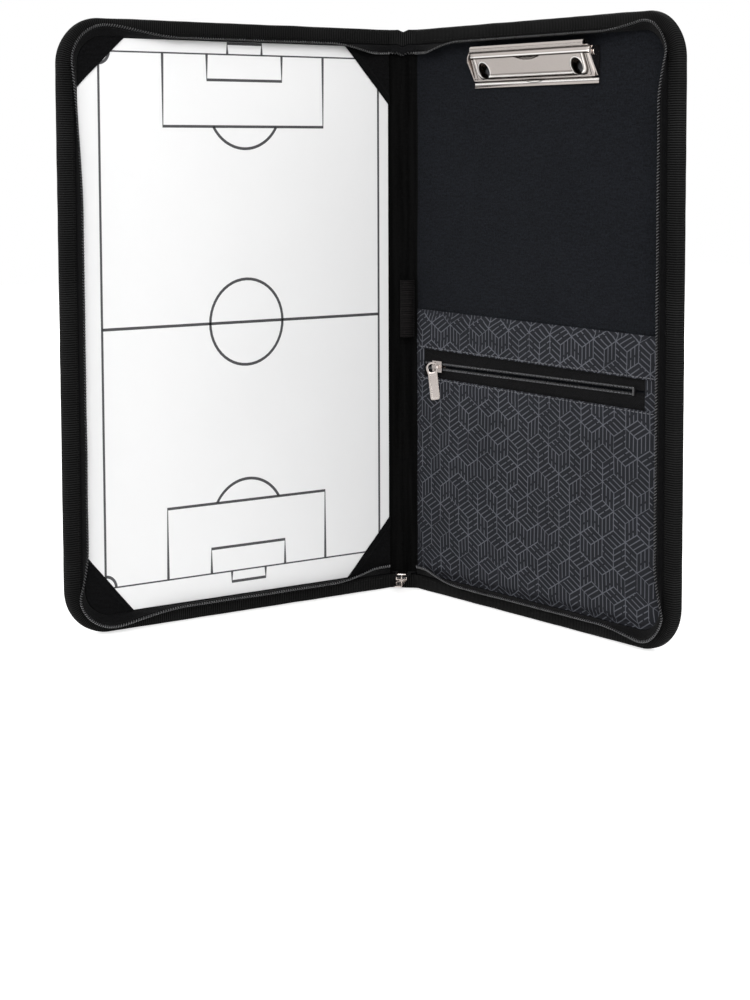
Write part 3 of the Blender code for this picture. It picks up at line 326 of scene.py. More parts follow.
class Wire:
    """A socket's value in a node tree; the usual operators add Math nodes."""

    def __init__(self, nodes, socket):
        self.nodes = nodes
        self.socket = socket

    def math(self, operation, *others):
        return self.nodes.node("ShaderNodeMath", {"operation": operation},
                               dict(enumerate((self, *others))))

    def __add__(self, other):
        return self.math("ADD", other)

    def __sub__(self, other):
        return self.math("SUBTRACT", other)

    def __mul__(self, other):
        return self.math("MULTIPLY", other)

    def __truediv__(self, other):
        return self.math("DIVIDE", other)

    def __radd__(self, other):
        return self.nodes.number(other).math("ADD", self)

    def __rsub__(self, other):
        return self.nodes.number(other).math("SUBTRACT", self)

    def __rmul__(self, other):
        return self.nodes.number(other).math("MULTIPLY", self)

    def __lt__(self, other):
        return self.math("LESS_THAN", other)

    def __gt__(self, other):
        return self.math("GREATER_THAN", other)

    def floor(self):
        return self.math("FLOOR")

    def fract(self):
        return self.math("FRACT")

    def round(self):
        return self.math("ROUND")

    def abs(self):
        return self.math("ABSOLUTE")

    def sin(self):
        return self.math("SINE")

    def root(self):
        return self.math("SQRT")

    def max(self, other):
        return self.math("MAXIMUM", other)

    def min(self, other):
        return self.math("MINIMUM", other)

    def step_down(self, low, high):
        """One below low, nought above high, smooth between."""
        return self.nodes.node("ShaderNodeMapRange", {"interpolation_type": "SMOOTHSTEP"},
                               {"Value": self, "From Min": low, "From Max": high,
                                "To Min": 1.0, "To Max": 0.0})


class Nodes:
    """A node tree that is written as expressions."""

    def __init__(self, tree):
        self.tree = tree

    def put(self, socket, value):
        """Links a wire to a socket, or sets the socket's own number, vector or colour."""
        if isinstance(value, Wire):
            self.tree.links.new(value.socket, socket)
        elif hasattr(socket.default_value, "__len__") and len(socket.default_value) == 4:
            socket.default_value = (*value, 1.0)
        else:
            socket.default_value = value

    def node(self, kind, settings=None, values=None, output=0):
        """Adds a node, its settings first and then its sockets, and gives one of its outputs."""
        made = self.tree.nodes.new(kind)
        for name, value in (settings or {}).items():
            setattr(made, name, value)
        for key, value in (values or {}).items():
            self.put(made.inputs[key], value)
        return Wire(self, made.outputs[output])

    def number(self, value):
        made = self.node("ShaderNodeValue")
        made.socket.default_value = value
        return made

    def ray(self, kind):
        """One where the light path is of a kind, such as straight from the camera."""
        return self.node("ShaderNodeLightPath", output=kind)


class Finish(Nodes):
    """A Principled material that is built up from wires."""

    def __init__(self, name, colour, roughness, metallic=0.0, **plain):
        self.name = name
        self.material = bpy.data.materials.new(name)
        self.material.use_nodes = True
        super().__init__(self.material.node_tree)
        self.shader = self.tree.nodes["Principled BSDF"]
        self.set("Base Color", colour)
        self.set("Roughness", roughness)
        self.set("Metallic", metallic)
        for socket, value in plain.items():
            self.set(socket.replace("_", " ").title().replace("Ior", "IOR"), value)

    def set(self, socket, value):
        self.put(self.shader.inputs[socket], value)

    def split(self, vector):
        """The x, y and z of a vector."""
        first = self.node("ShaderNodeSeparateXYZ", None, {0: vector})
        return [Wire(self, socket) for socket in first.socket.node.outputs]

    def cloth(self):
        """Place on the cloth, from the piece's own map: along it and across it, in metres."""
        along, across, _ = self.split(self.node("ShaderNodeUVMap", {"uv_map": "UVMap"}))
        return along, across

    def object_place(self):
        return self.node("ShaderNodeTexCoord", output="Object")

    def join(self, x, y, z=0.0):
        return self.node("ShaderNodeCombineXYZ", None, {0: x, 1: y, 2: z})

    def noise(self, place, per_metre, detail):
        """Cloudy noise, from 0 to 1, by how many clouds a metre holds and how fine they are."""
        return self.node("ShaderNodeTexNoise", None,
                         {"Vector": place, "Scale": per_metre, "Detail": detail})

    def chance(self, place, dimensions):
        """A different number from 0 to 1 for each whole place."""
        return self.node("ShaderNodeTexWhiteNoise", {"noise_dimensions": dimensions},
                         {"Vector": place})

    def mix(self, share, first, second):
        """A colour between two others."""
        return self.node("ShaderNodeMix", {"data_type": "RGBA"},
                         {MIX_SHARE: share, MIX_FIRST: first, MIX_SECOND: second}, MIX_RESULT)

    def shade(self, share, colour, darkest, lightest):
        """A colour between a darker and a lighter shade of its own."""
        return self.mix(share, shaded(colour, darkest), shaded(colour, lightest))

    def bump(self, height, distance):
        self.set("Normal", self.node("ShaderNodeBump", None,
                                     {"Height": height, "Distance": distance}))


def shaded(colour, factor):
    return tuple(channel * factor for channel in colour)


def most(wires):
    """The greatest of several wires."""
    greatest = wires[0]
    for wire in wires[1:]:
        greatest = greatest.max(wire)
    return greatest


def thread_height(x, y, pitch, repeat, under, weft_height):
    """Height of woven threads: repeat is how many there are before the weave starts again, and
    under the share of them that lies below."""
    i = x / pitch
    j = y / pitch
    warp = (i * math.pi).sin().abs()
    weft = (j * math.pi).sin().abs() * weft_height
    over = ((i.floor() + j.floor()) / repeat).fract() > under
    return over * warp + (1.0 - over) * weft


# Materials

def plain_weave(x, y, pitch):
    """Height of threads that pass over and under each other by turns, from 0 to 1."""
    return thread_height(x, y, pitch, 2.0, 0.25, 1.0)


def twill_weave(x, y, pitch):
    """Height of threads whose floats step sideways by one each row, from 0 to 1."""
    return thread_height(x, y, pitch, 3.0, 0.5, 0.8)


def woven_finish(name, colour, pitch, weave, depth, roughness=0.9, contrast=0.4, specular=0.05,
                 creases=0.0):
    """Cloth: its threads in light and shade, slubs, worn patches, and creases that run up it painted
    as lighter and darker streaks of light and shade.
    """
    made = Finish(name, colour, roughness, specular_ior_level=specular, sheen_weight=0.02,
                  sheen_roughness=0.5)
    x, y = made.cloth()
    place = made.join(x, y)
    height = weave(x, y, pitch)
    patch = made.noise(place, 22.0, 3.0)
    slub = made.noise(place, 0.5 / pitch, 1.0)
    row = made.chance(made.join((x / pitch / 5.0).floor(), (y / pitch).floor()), "2D")
    speck = made.noise(place, 700.0, 1.0)
    light = height * contrast + slub * 0.3 + patch * 0.2 + row * 0.3 + speck * 1.1 - 0.65
    # Painted light and shade of creases: lighter and darker streaks that run up the cloth.
    if creases:
        crease = made.noise(made.join(x * 260.0, y * 12.0), 1.0, 2.0)
        light = light + (crease - 0.5) * creases
    made.set("Base Color", made.shade(light, colour, 0.25, 1.9))
    made.set("Roughness", roughness - patch * 0.12)
    made.bump(height + slub * 0.3, depth)
    return made


def ribbed_finish(name, colour, pitch, depth):
    """Grosgrain: round ribs across the tape, with fine threads along them; each rib's crest is
    painted light and the rest painted dark, as light and shade.
    """
    made = Finish(name, colour, 0.8, specular_ior_level=0.05, sheen_weight=0.01,
                  sheen_roughness=0.5)
    x, y = made.cloth()
    place = made.join(x, y)
    wander = made.noise(place, 60.0, 2.0) * 0.6 * MM
    rib = ((x + wander) / pitch * math.pi).sin().abs()
    thread = (y / (pitch * 0.35) * math.pi).sin().abs()
    patch = made.noise(place, 30.0, 3.0)
    # Painted highlight on each rib's crest, and painted shade, near black, everywhere else.
    painted_crest_light = 1.0 - rib.step_down(0.62, 0.92)
    light = painted_crest_light * 0.8 * (0.3 + patch * 1.1) + thread * 0.06
    made.set("Base Color", made.shade(light, colour, 0.03, 5.5))
    made.bump(rib + thread * 0.2, depth)
    return made


def striped_rhombi(finish, x, y, side, half_width, stripes):
    """Thin lines of a tiling by rhombi, three to a hexagon, each striped one way or the other."""
    wide = side * math.sqrt(3)
    high = side * 3.0
    slant = side * 0.866
    hexagons = [(((x / wide - shift).fract() - 0.5) * wide, ((y / high - shift).fract() - 0.5) * high)
                for shift in (0.0, 0.5)]
    first, second = (across * across + up * up for across, up in hexagons)
    far = first > second
    at_x, at_y = (here + (there - here) * far for here, there in zip(*hexagons))
    cell_x = ((x - at_x) / wide * 2.0).round()
    cell_y = ((y - at_y) / high * 2.0).round()

    def ink(distance):
        return distance.abs().step_down(half_width * 0.6, half_width * 1.4)

    drawn = []
    for number in range(3):
        turn = math.radians(90 + 120 * number)
        next_turn = turn + math.radians(120)
        area = math.sin(next_turn - turn) * side
        p = (at_x * math.sin(next_turn) - at_y * math.cos(next_turn)) / area
        q = (at_y * math.cos(turn) - at_x * math.sin(turn)) / area
        inside = (p > 0.0) * (q > 0.0)
        chance = finish.chance(finish.join(cell_x, cell_y, number + 0.5), "3D")
        turned = chance > 0.5
        across = p + (q - p) * turned
        along = q + (p - q) * turned
        cut = (along - (chance * 5.0).fract() * 0.5).abs() > 0.06
        stripe = ink(((across * stripes).round() / stripes - across) * slant) * cut
        rim = ink(p.min(q).min(1.0 - p.max(q)) * slant) * (chance > 0.12)
        drawn.append(inside * stripe.max(rim))
    return most(drawn)


def pocket_finish(colours):
    """Smooth dark cloth printed with thin lines: rhombi with stripes."""
    made = Finish("pocket_print", colours.pocket, 0.72, specular_ior_level=0.08)
    x, y = made.cloth()
    place = made.join(x, y)
    weave = plain_weave(x, y, 0.5 * MM)
    bent = (made.noise(place, 12.0, 1.0) - 0.5) * 2.0 * MM
    lines = striped_rhombi(made, x + bent, y, side=10.6 * MM, half_width=0.3 * MM, stripes=3.0)
    patch = made.noise(place, 35.0, 3.0)
    # Threads that stand high are painted lighter, as light and shade; the patches vary the tone at
    # random.
    ground = made.shade(weave * 0.4 + patch * 0.4, colours.pocket, 0.6, 1.4)
    made.set("Base Color", made.mix(lines * (0.55 + patch * 0.5), ground, colours.pocket_line))
    made.set("Roughness", 0.75 - lines * 0.15)
    made.bump(weave + lines * 0.3, 0.05 * MM)
    return made


def board_finish(colours):
    """White laminate with faint traces of wiped marks in its gloss."""
    made = Finish("board_white", colours.board, 0.3, specular_ior_level=0.4)
    wiped = made.noise(made.object_place(), 18.0, 4.0)
    made.set("Base Color", made.shade(wiped, colours.board, 0.97, 1.0))
    made.set("Roughness", 0.24 + wiped * 0.16)
    return made


def print_finish(name, colour):
    """Ink or transfer print, slightly uneven."""
    made = Finish(name, colour, 0.5, specular_ior_level=0.3)
    cover = made.noise(made.object_place(), 160.0, 3.0)
    made.set("Base Color", made.shade(cover, colour, 0.88, 1.0))
    made.set("Roughness", 0.45 + cover * 0.15)
    return made


def metal_finish(name, colour, roughness):
    """Bright plate with a fine grain along X and soft smears of handling."""
    made = Finish(name, colour, roughness, 1.0)
    place = made.object_place()
    drawn_out = made.node("ShaderNodeVectorMath", {"operation": "MULTIPLY"},
                          {0: place, 1: (60.0, 60.0, 4000.0)})
    grain = made.noise(drawn_out, 1.0, 2.0)
    smear = made.noise(place, 45.0, 3.0)
    made.set("Base Color", made.shade(smear, colour, 0.9, 1.0))
    made.set("Roughness", roughness * 0.6 + smear * roughness * 0.6 + grain * 0.05)
    made.bump(grain, 0.004 * MM)
    return made


def lever_finish(colours):
    """Bright plate with painted shade at the feet of its pressed lines, round its holes and in its
    dimple, and painted highlights on their crests and rims.
    """
    made = metal_finish("lever_nickel", colours.nickel, 0.16)
    x, _, z = made.split(made.object_place())
    a = (x - (FOLD_LINE.x + CLIP_CENTRE)).abs()
    b = z - CLIP_FOOT
    side = (a - (FRAME_HALF_WIDTH - FRAME_CORNER)).max(0.0)
    foot = (FRAME_FOOT + FRAME_CORNER - b).max(0.0)
    outside = (side * side + foot * foot).root() - FRAME_CORNER
    hole = ((a - RIVET_SPREAD) * (a - RIVET_SPREAD) + (b - HOLE_ALONG) * (b - HOLE_ALONG)).root()
    plate = (b < PLATE_TOP) * (b > 4.6 * MM)

    def arch(half_width):
        return 1.0 - (a / half_width) * (a / half_width)

    def lines(*each):
        """Lines, each by the distance from it, half its width in millimetres and its strength."""
        return [distance.abs().step_down(half * 0.6 * MM, half * 1.6 * MM) * strength
                for distance, half, strength in each]

    bulge = arch(9 * MM)
    below = 17.0 * MM - b
    moon = (below > 0.0) * (arch(11.5 * MM) * 2.0 * MM > below) * 0.75
    # Painted shade: dark lines at the feet of the pressed shapes and edges, round the holes, and a
    # dark crescent in the dimple.
    dark = most(lines((outside - 1.3 * MM, 0.42, plate),
                      (outside + 1.1 * MM, 0.22, plate * 0.6),
                      (a - 49.6 * MM, 0.3, plate),
                      (hole - 4.45 * MM, 0.3, 1.0),
                      (b - 1.75 * MM, 0.15, 0.7),
                      (b - 3.6 * MM, 0.42, 1.0),
                      (b - 17.1 * MM, 0.34, 1.0),
                      (b - 20.5 * MM, 0.42, 1.0),
                      (b - (3.6 * MM - bulge.max(0.0) * 1.5 * MM), 0.22, (bulge > 0.0) * 0.8))
                + [moon])
    # Painted highlights: near white lines on the crests and rims.
    light = most(lines((outside, 0.3, plate),
                       (b - 2.9 * MM, 0.4, a < 4.5 * MM),
                       (hole - HOLE_RIM, 0.3, 1.0),
                       (b - 2.4 * MM, 0.4, 1.0),
                       (b - 18.0 * MM, 0.3, 1.0)))
    painted_highlights = made.mix(light, colours.nickel, srgb(250, 247, 244))
    made.set("Base Color", made.mix(dark * 0.92, painted_highlights, srgb(48, 41, 36)))
    return made


def coil_finish(name, colour):
    """Nylon wire: dark, with a dull shine and a little dust, and painted shade that darkens it
    towards the cover's top edge.
    """
    made = Finish(name, colour, 0.3, specular_ior_level=0.8)
    place = made.object_place()
    dust = made.noise(place, 120.0, 2.0)
    dusty = made.shade(dust, colour, 0.7, 1.3)
    height = made.split(place)[2]
    # Painted shade: the coil's colour drops to a third towards the cover's top edge.
    clear_of_painted_shade = height.step_down(COVER_HEIGHT - 30 * MM, COVER_HEIGHT - 12 * MM)
    made.set("Base Color", made.mix(clear_of_painted_shade, shaded(colour, 0.3), dusty))
    made.set("Roughness", 0.2 + dust * 0.16)
    return made


def thread_finish(name, colour):
    """Spun thread: lighter and darker plies."""
    made = Finish(name, colour, 0.65, specular_ior_level=0.15)
    ply = made.noise(made.object_place(), 1400.0, 1.0)
    made.set("Base Color", made.shade(ply, colour, 0.5, 1.5))
    made.set("Roughness", 0.55 + ply * 0.2)
    return made


def webbing_finish(colours, pitch):
    """Heavy band with a woven figure of stepped diamonds in a lighter thread."""
    made = Finish("webbing_weave", colours.webbing, 0.8, specular_ior_level=0.15)
    x, y = made.cloth()
    rib = (x / pitch * math.pi).sin().abs()
    step = 1.2 * MM
    repeat = 36 * MM
    diamond_half = 14 * MM
    along = ((x / step).floor() * step / repeat).fract() - 0.5
    across = (((y / step).floor() + 0.5) * step).abs()
    reach = along.abs() * 2.0 * diamond_half + across
    rings = [(reach - ring * MM).abs().step_down(0.35 * MM, 0.7 * MM) for ring in (12.6, 8.4, 3.6)]
    figure = most(rings) * (across < 9.6 * MM)
    patch = made.noise(made.join(x, y), 40.0, 3.0)
    # The ribs are painted lighter on their crests and darker in their hollows, as light and shade;
    # the figure also shows more on the crests.
    ground = made.shade(rib * 0.55 + patch * 0.4, colours.webbing, 0.5, 1.7)
    made.set("Base Color", made.mix(figure * (0.55 + rib * 0.35), ground, colours.webbing_line))
    made.bump(rib * 0.6 + figure * 0.5, 0.12 * MM)
    return made


def make_materials():
    """Every material, by name."""
    sizes = bpy.context.scene.folder_sizes
    colours = bpy.context.scene.folder_colours
    lining_weave = (0.6 * MM, plain_weave, 0.08 * MM)
    made = [
        woven_finish("shell_fabric", colours.shell, sizes.weave_pitch, plain_weave, 0.16 * MM,
                     roughness=0.85, contrast=0.55),
        woven_finish("lining_fabric", colours.lining, *lining_weave),
        woven_finish("corner_fabric", colours.corner, *lining_weave, specular=0.04),
        woven_finish("dark_lining", colours.spine, *lining_weave, specular=0.03),
        woven_finish("crease_shaded_lining", colours.spine, *lining_weave, specular=0.03, creases=3.2),
        ribbed_finish("binding_tape", colours.binding, sizes.rib_pitch, 0.16 * MM),
        ribbed_finish("ribbon_tape", colours.webbing, sizes.rib_pitch, 0.2 * MM),
        ribbed_finish("elastic_band", colours.elastic, 1.1 * MM, 0.2 * MM),
        woven_finish("zip_tape", colours.tape, 0.5 * MM, twill_weave, 0.07 * MM,
                     roughness=0.8, contrast=0.5),
        thread_finish("sewing_thread", colours.binding),
        thread_finish("light_thread", colours.thread),
        thread_finish("black_cord", colours.spine),
        print_finish("stiffener_board", srgb(96, 92, 86)),
        print_finish("pitch_print", colours.pitch),
        print_finish("badge_print", colours.badge),
        metal_finish("dark_steel", colours.steel, 0.3),
        metal_finish("nickel", colours.nickel, 0.16),
        lever_finish(colours),
        coil_finish("zip_coil", colours.coil),
        coil_finish("small_zip_coil", colours.small_coil),
        pocket_finish(colours),
        board_finish(colours),
        webbing_finish(colours, 0.9 * MM),
    ]
    return {finish.name: finish.material for finish in made}


# Panels

class Panel:
    """A cover or the spine: u along it from its origin, v up, w out of its inner face."""

    def __init__(self, body, origin, along, inward):
        self.body = body
        self.origin = Vector(origin)
        self.along = Vector(along)
        self.inward = Vector(inward)

    def at(self, u, v, w):
        return self.origin + self.along * u + self.inward * w + Vector((0.0, 0.0, v))


HALF_TURN = math.sqrt(0.5)
BACK = Panel("back_cover", (FOLD_LINE.x, FOLD_LINE.y, 0.0), (1, 0, 0), (0, -1, 0))
FRONT = Panel("front_cover", (-FOLD_LINE.x, -FOLD_LINE.y, 0.0), (0, -1, 0), (1, 0, 0))
SPINE = Panel("spine", (0.0, 0.0, 0.0), (HALF_TURN, HALF_TURN, 0), (HALF_TURN, -HALF_TURN, 0))
COVERS = {"back_cover": BACK, "front_cover": FRONT}


# Meshes

def deselect():
    bpy.ops.object.select_all(action="DESELECT")


def ripple(x, y, seed):
    """Smooth noise from about -1 to 1, by places counted in ripples."""
    return noise.noise(Vector((x, y, seed)))


def only(thing):
    """Makes one object the selected and active one."""
    deselect()
    thing.select_set(True)
    bpy.context.view_layer.objects.active = thing


def add_modifier(thing, kind, **settings):
    """Adds a modifier, sets it and applies it."""
    only(thing)
    bpy.ops.object.modifier_add(type=kind)
    modifier = thing.modifiers[-1]
    for name, value in settings.items():
        setattr(modifier, name, value)
    bpy.ops.object.modifier_apply(modifier=modifier.name)


def face_outwards(thing, merge=0.002 * MM, dissolve=False):
    """Merges points that meet and turns every face outwards."""
    only(thing)
    bpy.ops.object.mode_set(mode="EDIT")
    bpy.ops.mesh.select_all(action="SELECT")
    bpy.ops.mesh.remove_doubles(threshold=merge)
    if dissolve:
        bpy.ops.mesh.dissolve_degenerate(threshold=merge)
    bpy.ops.mesh.normals_make_consistent(inside=False)
    bpy.ops.object.mode_set(mode="OBJECT")


def cut_away(thing, cutter):
    """Takes one closed object out of another, and deletes it."""
    add_modifier(thing, "BOOLEAN", operation="DIFFERENCE", solver="EXACT", object=cutter)
    bpy.data.objects.remove(cutter, do_unlink=True)


def smooth(thing, degrees=40.0):
    only(thing)
    bpy.ops.object.shade_smooth_by_angle(angle=math.radians(degrees))


def finish_piece(thing, name, material, body, nodes=()):
    """Names a piece, gives it its material and body, and hides the imported nodes it stands for."""
    thing.name = name
    thing.data.name = name
    thing.data.materials.clear()
    thing.data.materials.append(MATERIALS[material])
    if body:
        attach(thing, body)
    if nodes:
        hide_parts(*nodes)
    return thing


def cloth_grid(columns, rows, lie):
    """A grid primitive laid where lie(s, t) says; lie gives a point and its place on the cloth."""
    deselect()
    bpy.ops.mesh.primitive_grid_add(x_subdivisions=columns, y_subdivisions=rows, size=1.0)
    thing = bpy.context.object
    mesh = thing.data
    places = np.zeros((len(mesh.vertices), 2))
    for vertex in mesh.vertices:
        point, place = lie(vertex.co.x + 0.5, vertex.co.y + 0.5)
        vertex.co = point
        places[vertex.index] = place
    corners = np.zeros(len(mesh.loops), int)
    mesh.loops.foreach_get("vertex_index", corners)
    mesh.uv_layers[0].name = "UVMap"
    mesh.uv_layers[0].data.foreach_set("uv", places[corners].astype(np.float32).ravel())
    mesh.update()
    return thing


def cloth_piece(name, lie, cells, thickness, material, body, nodes=(), degrees=40.0):
    """A finished sheet: laid by lie, with half its thickness to each side."""
    thing = cloth_grid(*cells, lie)
    add_modifier(thing, "SOLIDIFY", thickness=thickness, offset=0.0, use_even_offset=False)
    face_outwards(thing)
    smooth(thing, degrees)
    return finish_piece(thing, name, material, body, nodes)


def mesh_object(name, points, faces):
    mesh = bpy.data.meshes.new(name)
    mesh.from_pydata([tuple(p) for p in points], [], faces)
    thing = bpy.data.objects.new(name, mesh)
    bpy.context.scene.collection.objects.link(thing)
    return thing


def smooth_step(value):
    value = max(0.0, min(1.0, value))
    return value * value * (3 - 2 * value)


def rounded(points, passes=2):
    """An open line with its corners cut again and again; its ends stay."""
    for _ in range(passes):
        cut = [points[0]]
        for first, second in zip(points, points[1:]):
            a, b = Vector(first), Vector(second)
            cut += [a.lerp(b, 0.25), a.lerp(b, 0.75)]
        points = cut + [points[-1]]
    return [Vector(p) for p in points]


class Line:
    """A line through points, read by the share of its length."""

    def __init__(self, points):
        self.points = [Vector(p) for p in points]
        self.marks = [0.0]
        for a, b in zip(self.points, self.points[1:]):
            self.marks.append(self.marks[-1] + (b - a).length)
        self.length = self.marks[-1]

    def at(self, share):
        reach = max(0.0, min(1.0, share)) * self.length
        number = int(np.searchsorted(self.marks, reach, side="right")) - 1
        number = min(number, len(self.points) - 2)
        span = self.marks[number + 1] - self.marks[number]
        return self.points[number].lerp(self.points[number + 1], (reach - self.marks[number]) / span)


def ring(centre, first, second, sides):
    """Points on the ellipse that two half axes give round a centre."""
    return [centre + first * math.cos(a) + second * math.sin(a)
            for a in (2 * math.pi * side / sides for side in range(sides))]


def tubes_object(name, tubes):
    """Tubes, each a list of rings of points; one that ends where it starts has no end caps."""
    points, faces = [], []
    for rings in tubes:
        sides = len(rings[0])
        start = len(points)
        points += [point for points_round in rings for point in points_round]
        last = len(points) - sides
        for low in range(start, last, sides):
            high = low + sides
            for side in range(sides):
                after = (side + 1) % sides
                faces.append((low + side, low + after, high + after, high + side))
        if rings[0] != rings[-1]:
            faces.append(tuple(reversed(range(start, start + sides))))
            faces.append(tuple(range(last, last + sides)))
    thing = mesh_object(name, points, faces)
    face_outwards(thing)
    return thing


def round_object(name, tubes):
    """Tubes that are shaded smooth."""
    thing = tubes_object(name, tubes)
    smooth(thing, 60.0)
    return thing


def wire_rings(points, radius, sides):
    """Rings round a line of points."""
    rings = []
    for number, point in enumerate(points):
        before = points[max(0, number - 1)]
        after = points[min(len(points) - 1, number + 1)]
        ahead = (after - before).normalized()
        helper = Vector((0.0, 0.0, 1.0)) if abs(ahead.z) < 0.9 else Vector((1.0, 0.0, 0.0))
        first = ahead.cross(helper).normalized()
        rings.append(ring(point, first * radius, ahead.cross(first) * radius, sides))
    return rings


def stitch_row(name, stretches, body, material="sewing_thread", size=1.0):
    """Stitches along (line, outward) pairs: small beads of thread, sunk at both ends."""
    length = bpy.context.scene.folder_sizes.stitch_length
    beads = []
    for line, out in stretches:
        path = Line(line)
        count = max(1, round(path.length / length))
        for number in range(count):
            start, end = ((number + share) / count for share in STITCH_SPAN)
            across = (path.at(end) - path.at(start)).cross(out).normalized()
            rings = []
            for share, lift, half in STITCH_BEAD:
                centre = path.at(start + (end - start) * share) + out * lift
                rings.append(ring(centre, across * half * size, out * half * size, 5))
            beads.append(rings)
    return finish_piece(round_object(name, beads), name, material, body)


def ease_edges(node, width, segments=2):
    """Rounds the hard edges of a packed metal piece, whose own mesh stays as it is."""
    thing = frame["nodes"][node]
    weld = thing.modifiers.new("weld", "WELD")
    weld.merge_threshold = 0.002 * MM
    bevel = thing.modifiers.new("bevel", "BEVEL")
    bevel.width = width
    bevel.segments = segments
    bevel.limit_method = "ANGLE"
    bevel.angle_limit = math.radians(35)
    bevel.harden_normals = True


def paint_node(node, material):
    """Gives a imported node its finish."""
    thing = frame["nodes"][node]
    thing.data.materials.clear()
    thing.data.materials.append(MATERIALS[material])


# Runs along a cover's open edges

def edge_at(travelled):
    """The outer edge's point and inward direction, from the top of the fold round to its foot."""
    far = COVER_WIDTH - CORNER_RADIUS
    arc = math.pi * CORNER_RADIUS / 2
    side = COVER_HEIGHT - 2 * CORNER_RADIUS
    if travelled <= far:
        return Vector((travelled, COVER_HEIGHT)), Vector((0.0, -1.0))
    travelled -= far
    if travelled <= arc:
        turn = math.pi / 2 - travelled / CORNER_RADIUS
        out = Vector((math.cos(turn), math.sin(turn)))
        return Vector((far, COVER_HEIGHT - CORNER_RADIUS)) + out * CORNER_RADIUS, -out
    travelled -= arc
    if travelled <= side:
        return (Vector((COVER_WIDTH, COVER_HEIGHT - CORNER_RADIUS - travelled)),
                Vector((-1.0, 0.0)))
    travelled -= side
    if travelled <= arc:
        turn = -travelled / CORNER_RADIUS
        out = Vector((math.cos(turn), math.sin(turn)))
        return Vector((far, CORNER_RADIUS)) + out * CORNER_RADIUS, -out
    travelled -= arc
    return Vector((far - travelled, 0.0)), Vector((0.0, 1.0))


def mitred(u, w):
    """Keeps a point back from the fold by its height, so that closed panels meet."""
    return max(u, GAP + max(0.0, w))


def edge_point(panel, travelled, d, w):
    """A point beside a cover's open edge: d in from it and w above the inner face."""
    spot, inward = edge_at(travelled)
    spot = spot + inward * d
    return panel.at(mitred(spot.x, w), spot.y, w)


def zip_at(travelled, name):
    """How far the zip tape leans in, in radians, and its reach to the coil."""
    near = min(travelled, EDGE_LENGTH - travelled)
    corner = COVER_WIDTH - CORNER_RADIUS
    corner_end = corner + math.pi * CORNER_RADIUS / 2
    away = smooth_step(near / LEAN_CHANGE)
    lean = LEAN_AT_FOLD + (LEAN_AT_TOP - LEAN_AT_FOLD) * away
    past_corner = near - corner - LEAN_DELAY[name]
    lean += (LEAN_AT_CORNER[name] - lean) * smooth_step(past_corner / LEAN_CHANGE + 1)
    at_front_top = name == "front_cover" and travelled < EDGE_LENGTH / 2
    early, span = RISING_SLOWLY if at_front_top else RISING
    share = (near - corner_end + early) / span
    lean += (LEAN_ON_SIDE[name] - lean) * smooth_step(share)
    lean += away * LEAN_WANDER * ripple(travelled / (28 * MM), len(name), 0.0)
    lean = math.radians(lean)
    free = min(ZIP_REACH, ZIP_REACH_UPRIGHT / math.cos(lean))
    return lean, ZIP_REACH_AT_FOLD + (free - ZIP_REACH_AT_FOLD) * away


def coil_place(lean, reach):
    """How far in from the edge and how high the coil runs, by its tape's lean and reach."""
    return ZIP_LINE + reach * math.sin(lean), ZIP_RISE + reach * math.cos(lean)


# Covers

def corner_rows(count):
    """Heights of a cover's rows, as shares, closer together round both corners."""
    low = [CORNER_RADIUS * (1 - math.cos(math.pi / 2 * i / count)) for i in range(count + 1)]
    step = (COVER_HEIGHT - 2 * CORNER_RADIUS) / (3 * count)
    middle = [CORNER_RADIUS + step * (i + 1) for i in range(3 * count - 1)]
    return low + middle + [COVER_HEIGHT - v for v in reversed(low)]


def cover_reach(v, inset):
    """How far from the fold a cover inset from its edges reaches at a height."""
    radius = CORNER_RADIUS - inset
    from_end = min(v, COVER_HEIGHT - v) - inset
    if from_end >= radius:
        return COVER_WIDTH - inset
    drop = radius - max(0.0, from_end)
    return COVER_WIDTH - inset - radius + math.sqrt(max(0.0, radius * radius - drop * drop))


def cover_sheet(name, panel, height_at, material, node):
    """A sheet with a cover's outline; height_at(u, v) gives how far it stands off."""
    rows = corner_rows(10)

    def lie(s, t):
        v = rows[round(t * (len(rows) - 1))]
        v = LAYER_INSET + v * (COVER_HEIGHT - 2 * LAYER_INSET) / COVER_HEIGHT
        u = GAP + s * (cover_reach(v, LAYER_INSET) - GAP)
        return panel.at(u, v, height_at(u, v)), (u, v)

    return cloth_piece(name, lie, (64, len(rows) - 1), CLOTH_THICK, material, panel.body, [node])


def edge_share(u, v, wide):
    """Nought at a cover's edges, one beyond a distance in from them."""
    from_side = cover_reach(v, 0.0) - u
    from_ends = min(v, COVER_HEIGHT - v)
    return smooth_step(min(from_side, from_ends) / wide)


def outside_at(name, u, v, off):
    """Height at some way off the outer fabric, which has a low crown and faint slanting folds."""
    crown = bpy.context.scene.folder_sizes.cover_crown
    share = edge_share(u, v, 30 * MM) * smooth_step(u / (25 * MM))
    fold = ripple((u + v) / (30 * MM), (u - v) / (140 * MM), len(name))
    return SHELL_BACK - share * (0.6 * crown + 0.4 * crown * fold) - off


def make_shell(name, panel):
    """Outer fabric, drawn over the stiffener."""

    def height(u, v):
        return outside_at(name, u, v, -CLOTH_THICK / 2)

    return cover_sheet(name + "_outer_fabric", panel, height, "shell_fabric", name + "_shell")


def make_inner_fabric(name, panel):
    """Inner fabric, flat on the stiffener with faint waves."""

    def height(u, v):
        wave = ripple(u / (45 * MM), v / (60 * MM), len(name))
        return LINING_MIDDLE + 0.12 * MM * wave * edge_share(u, v, 25 * MM)

    material = "lining_fabric" if name == "back_cover" else "dark_lining"
    return cover_sheet(name + "_inner_fabric", panel, height, material, name + "_lining")


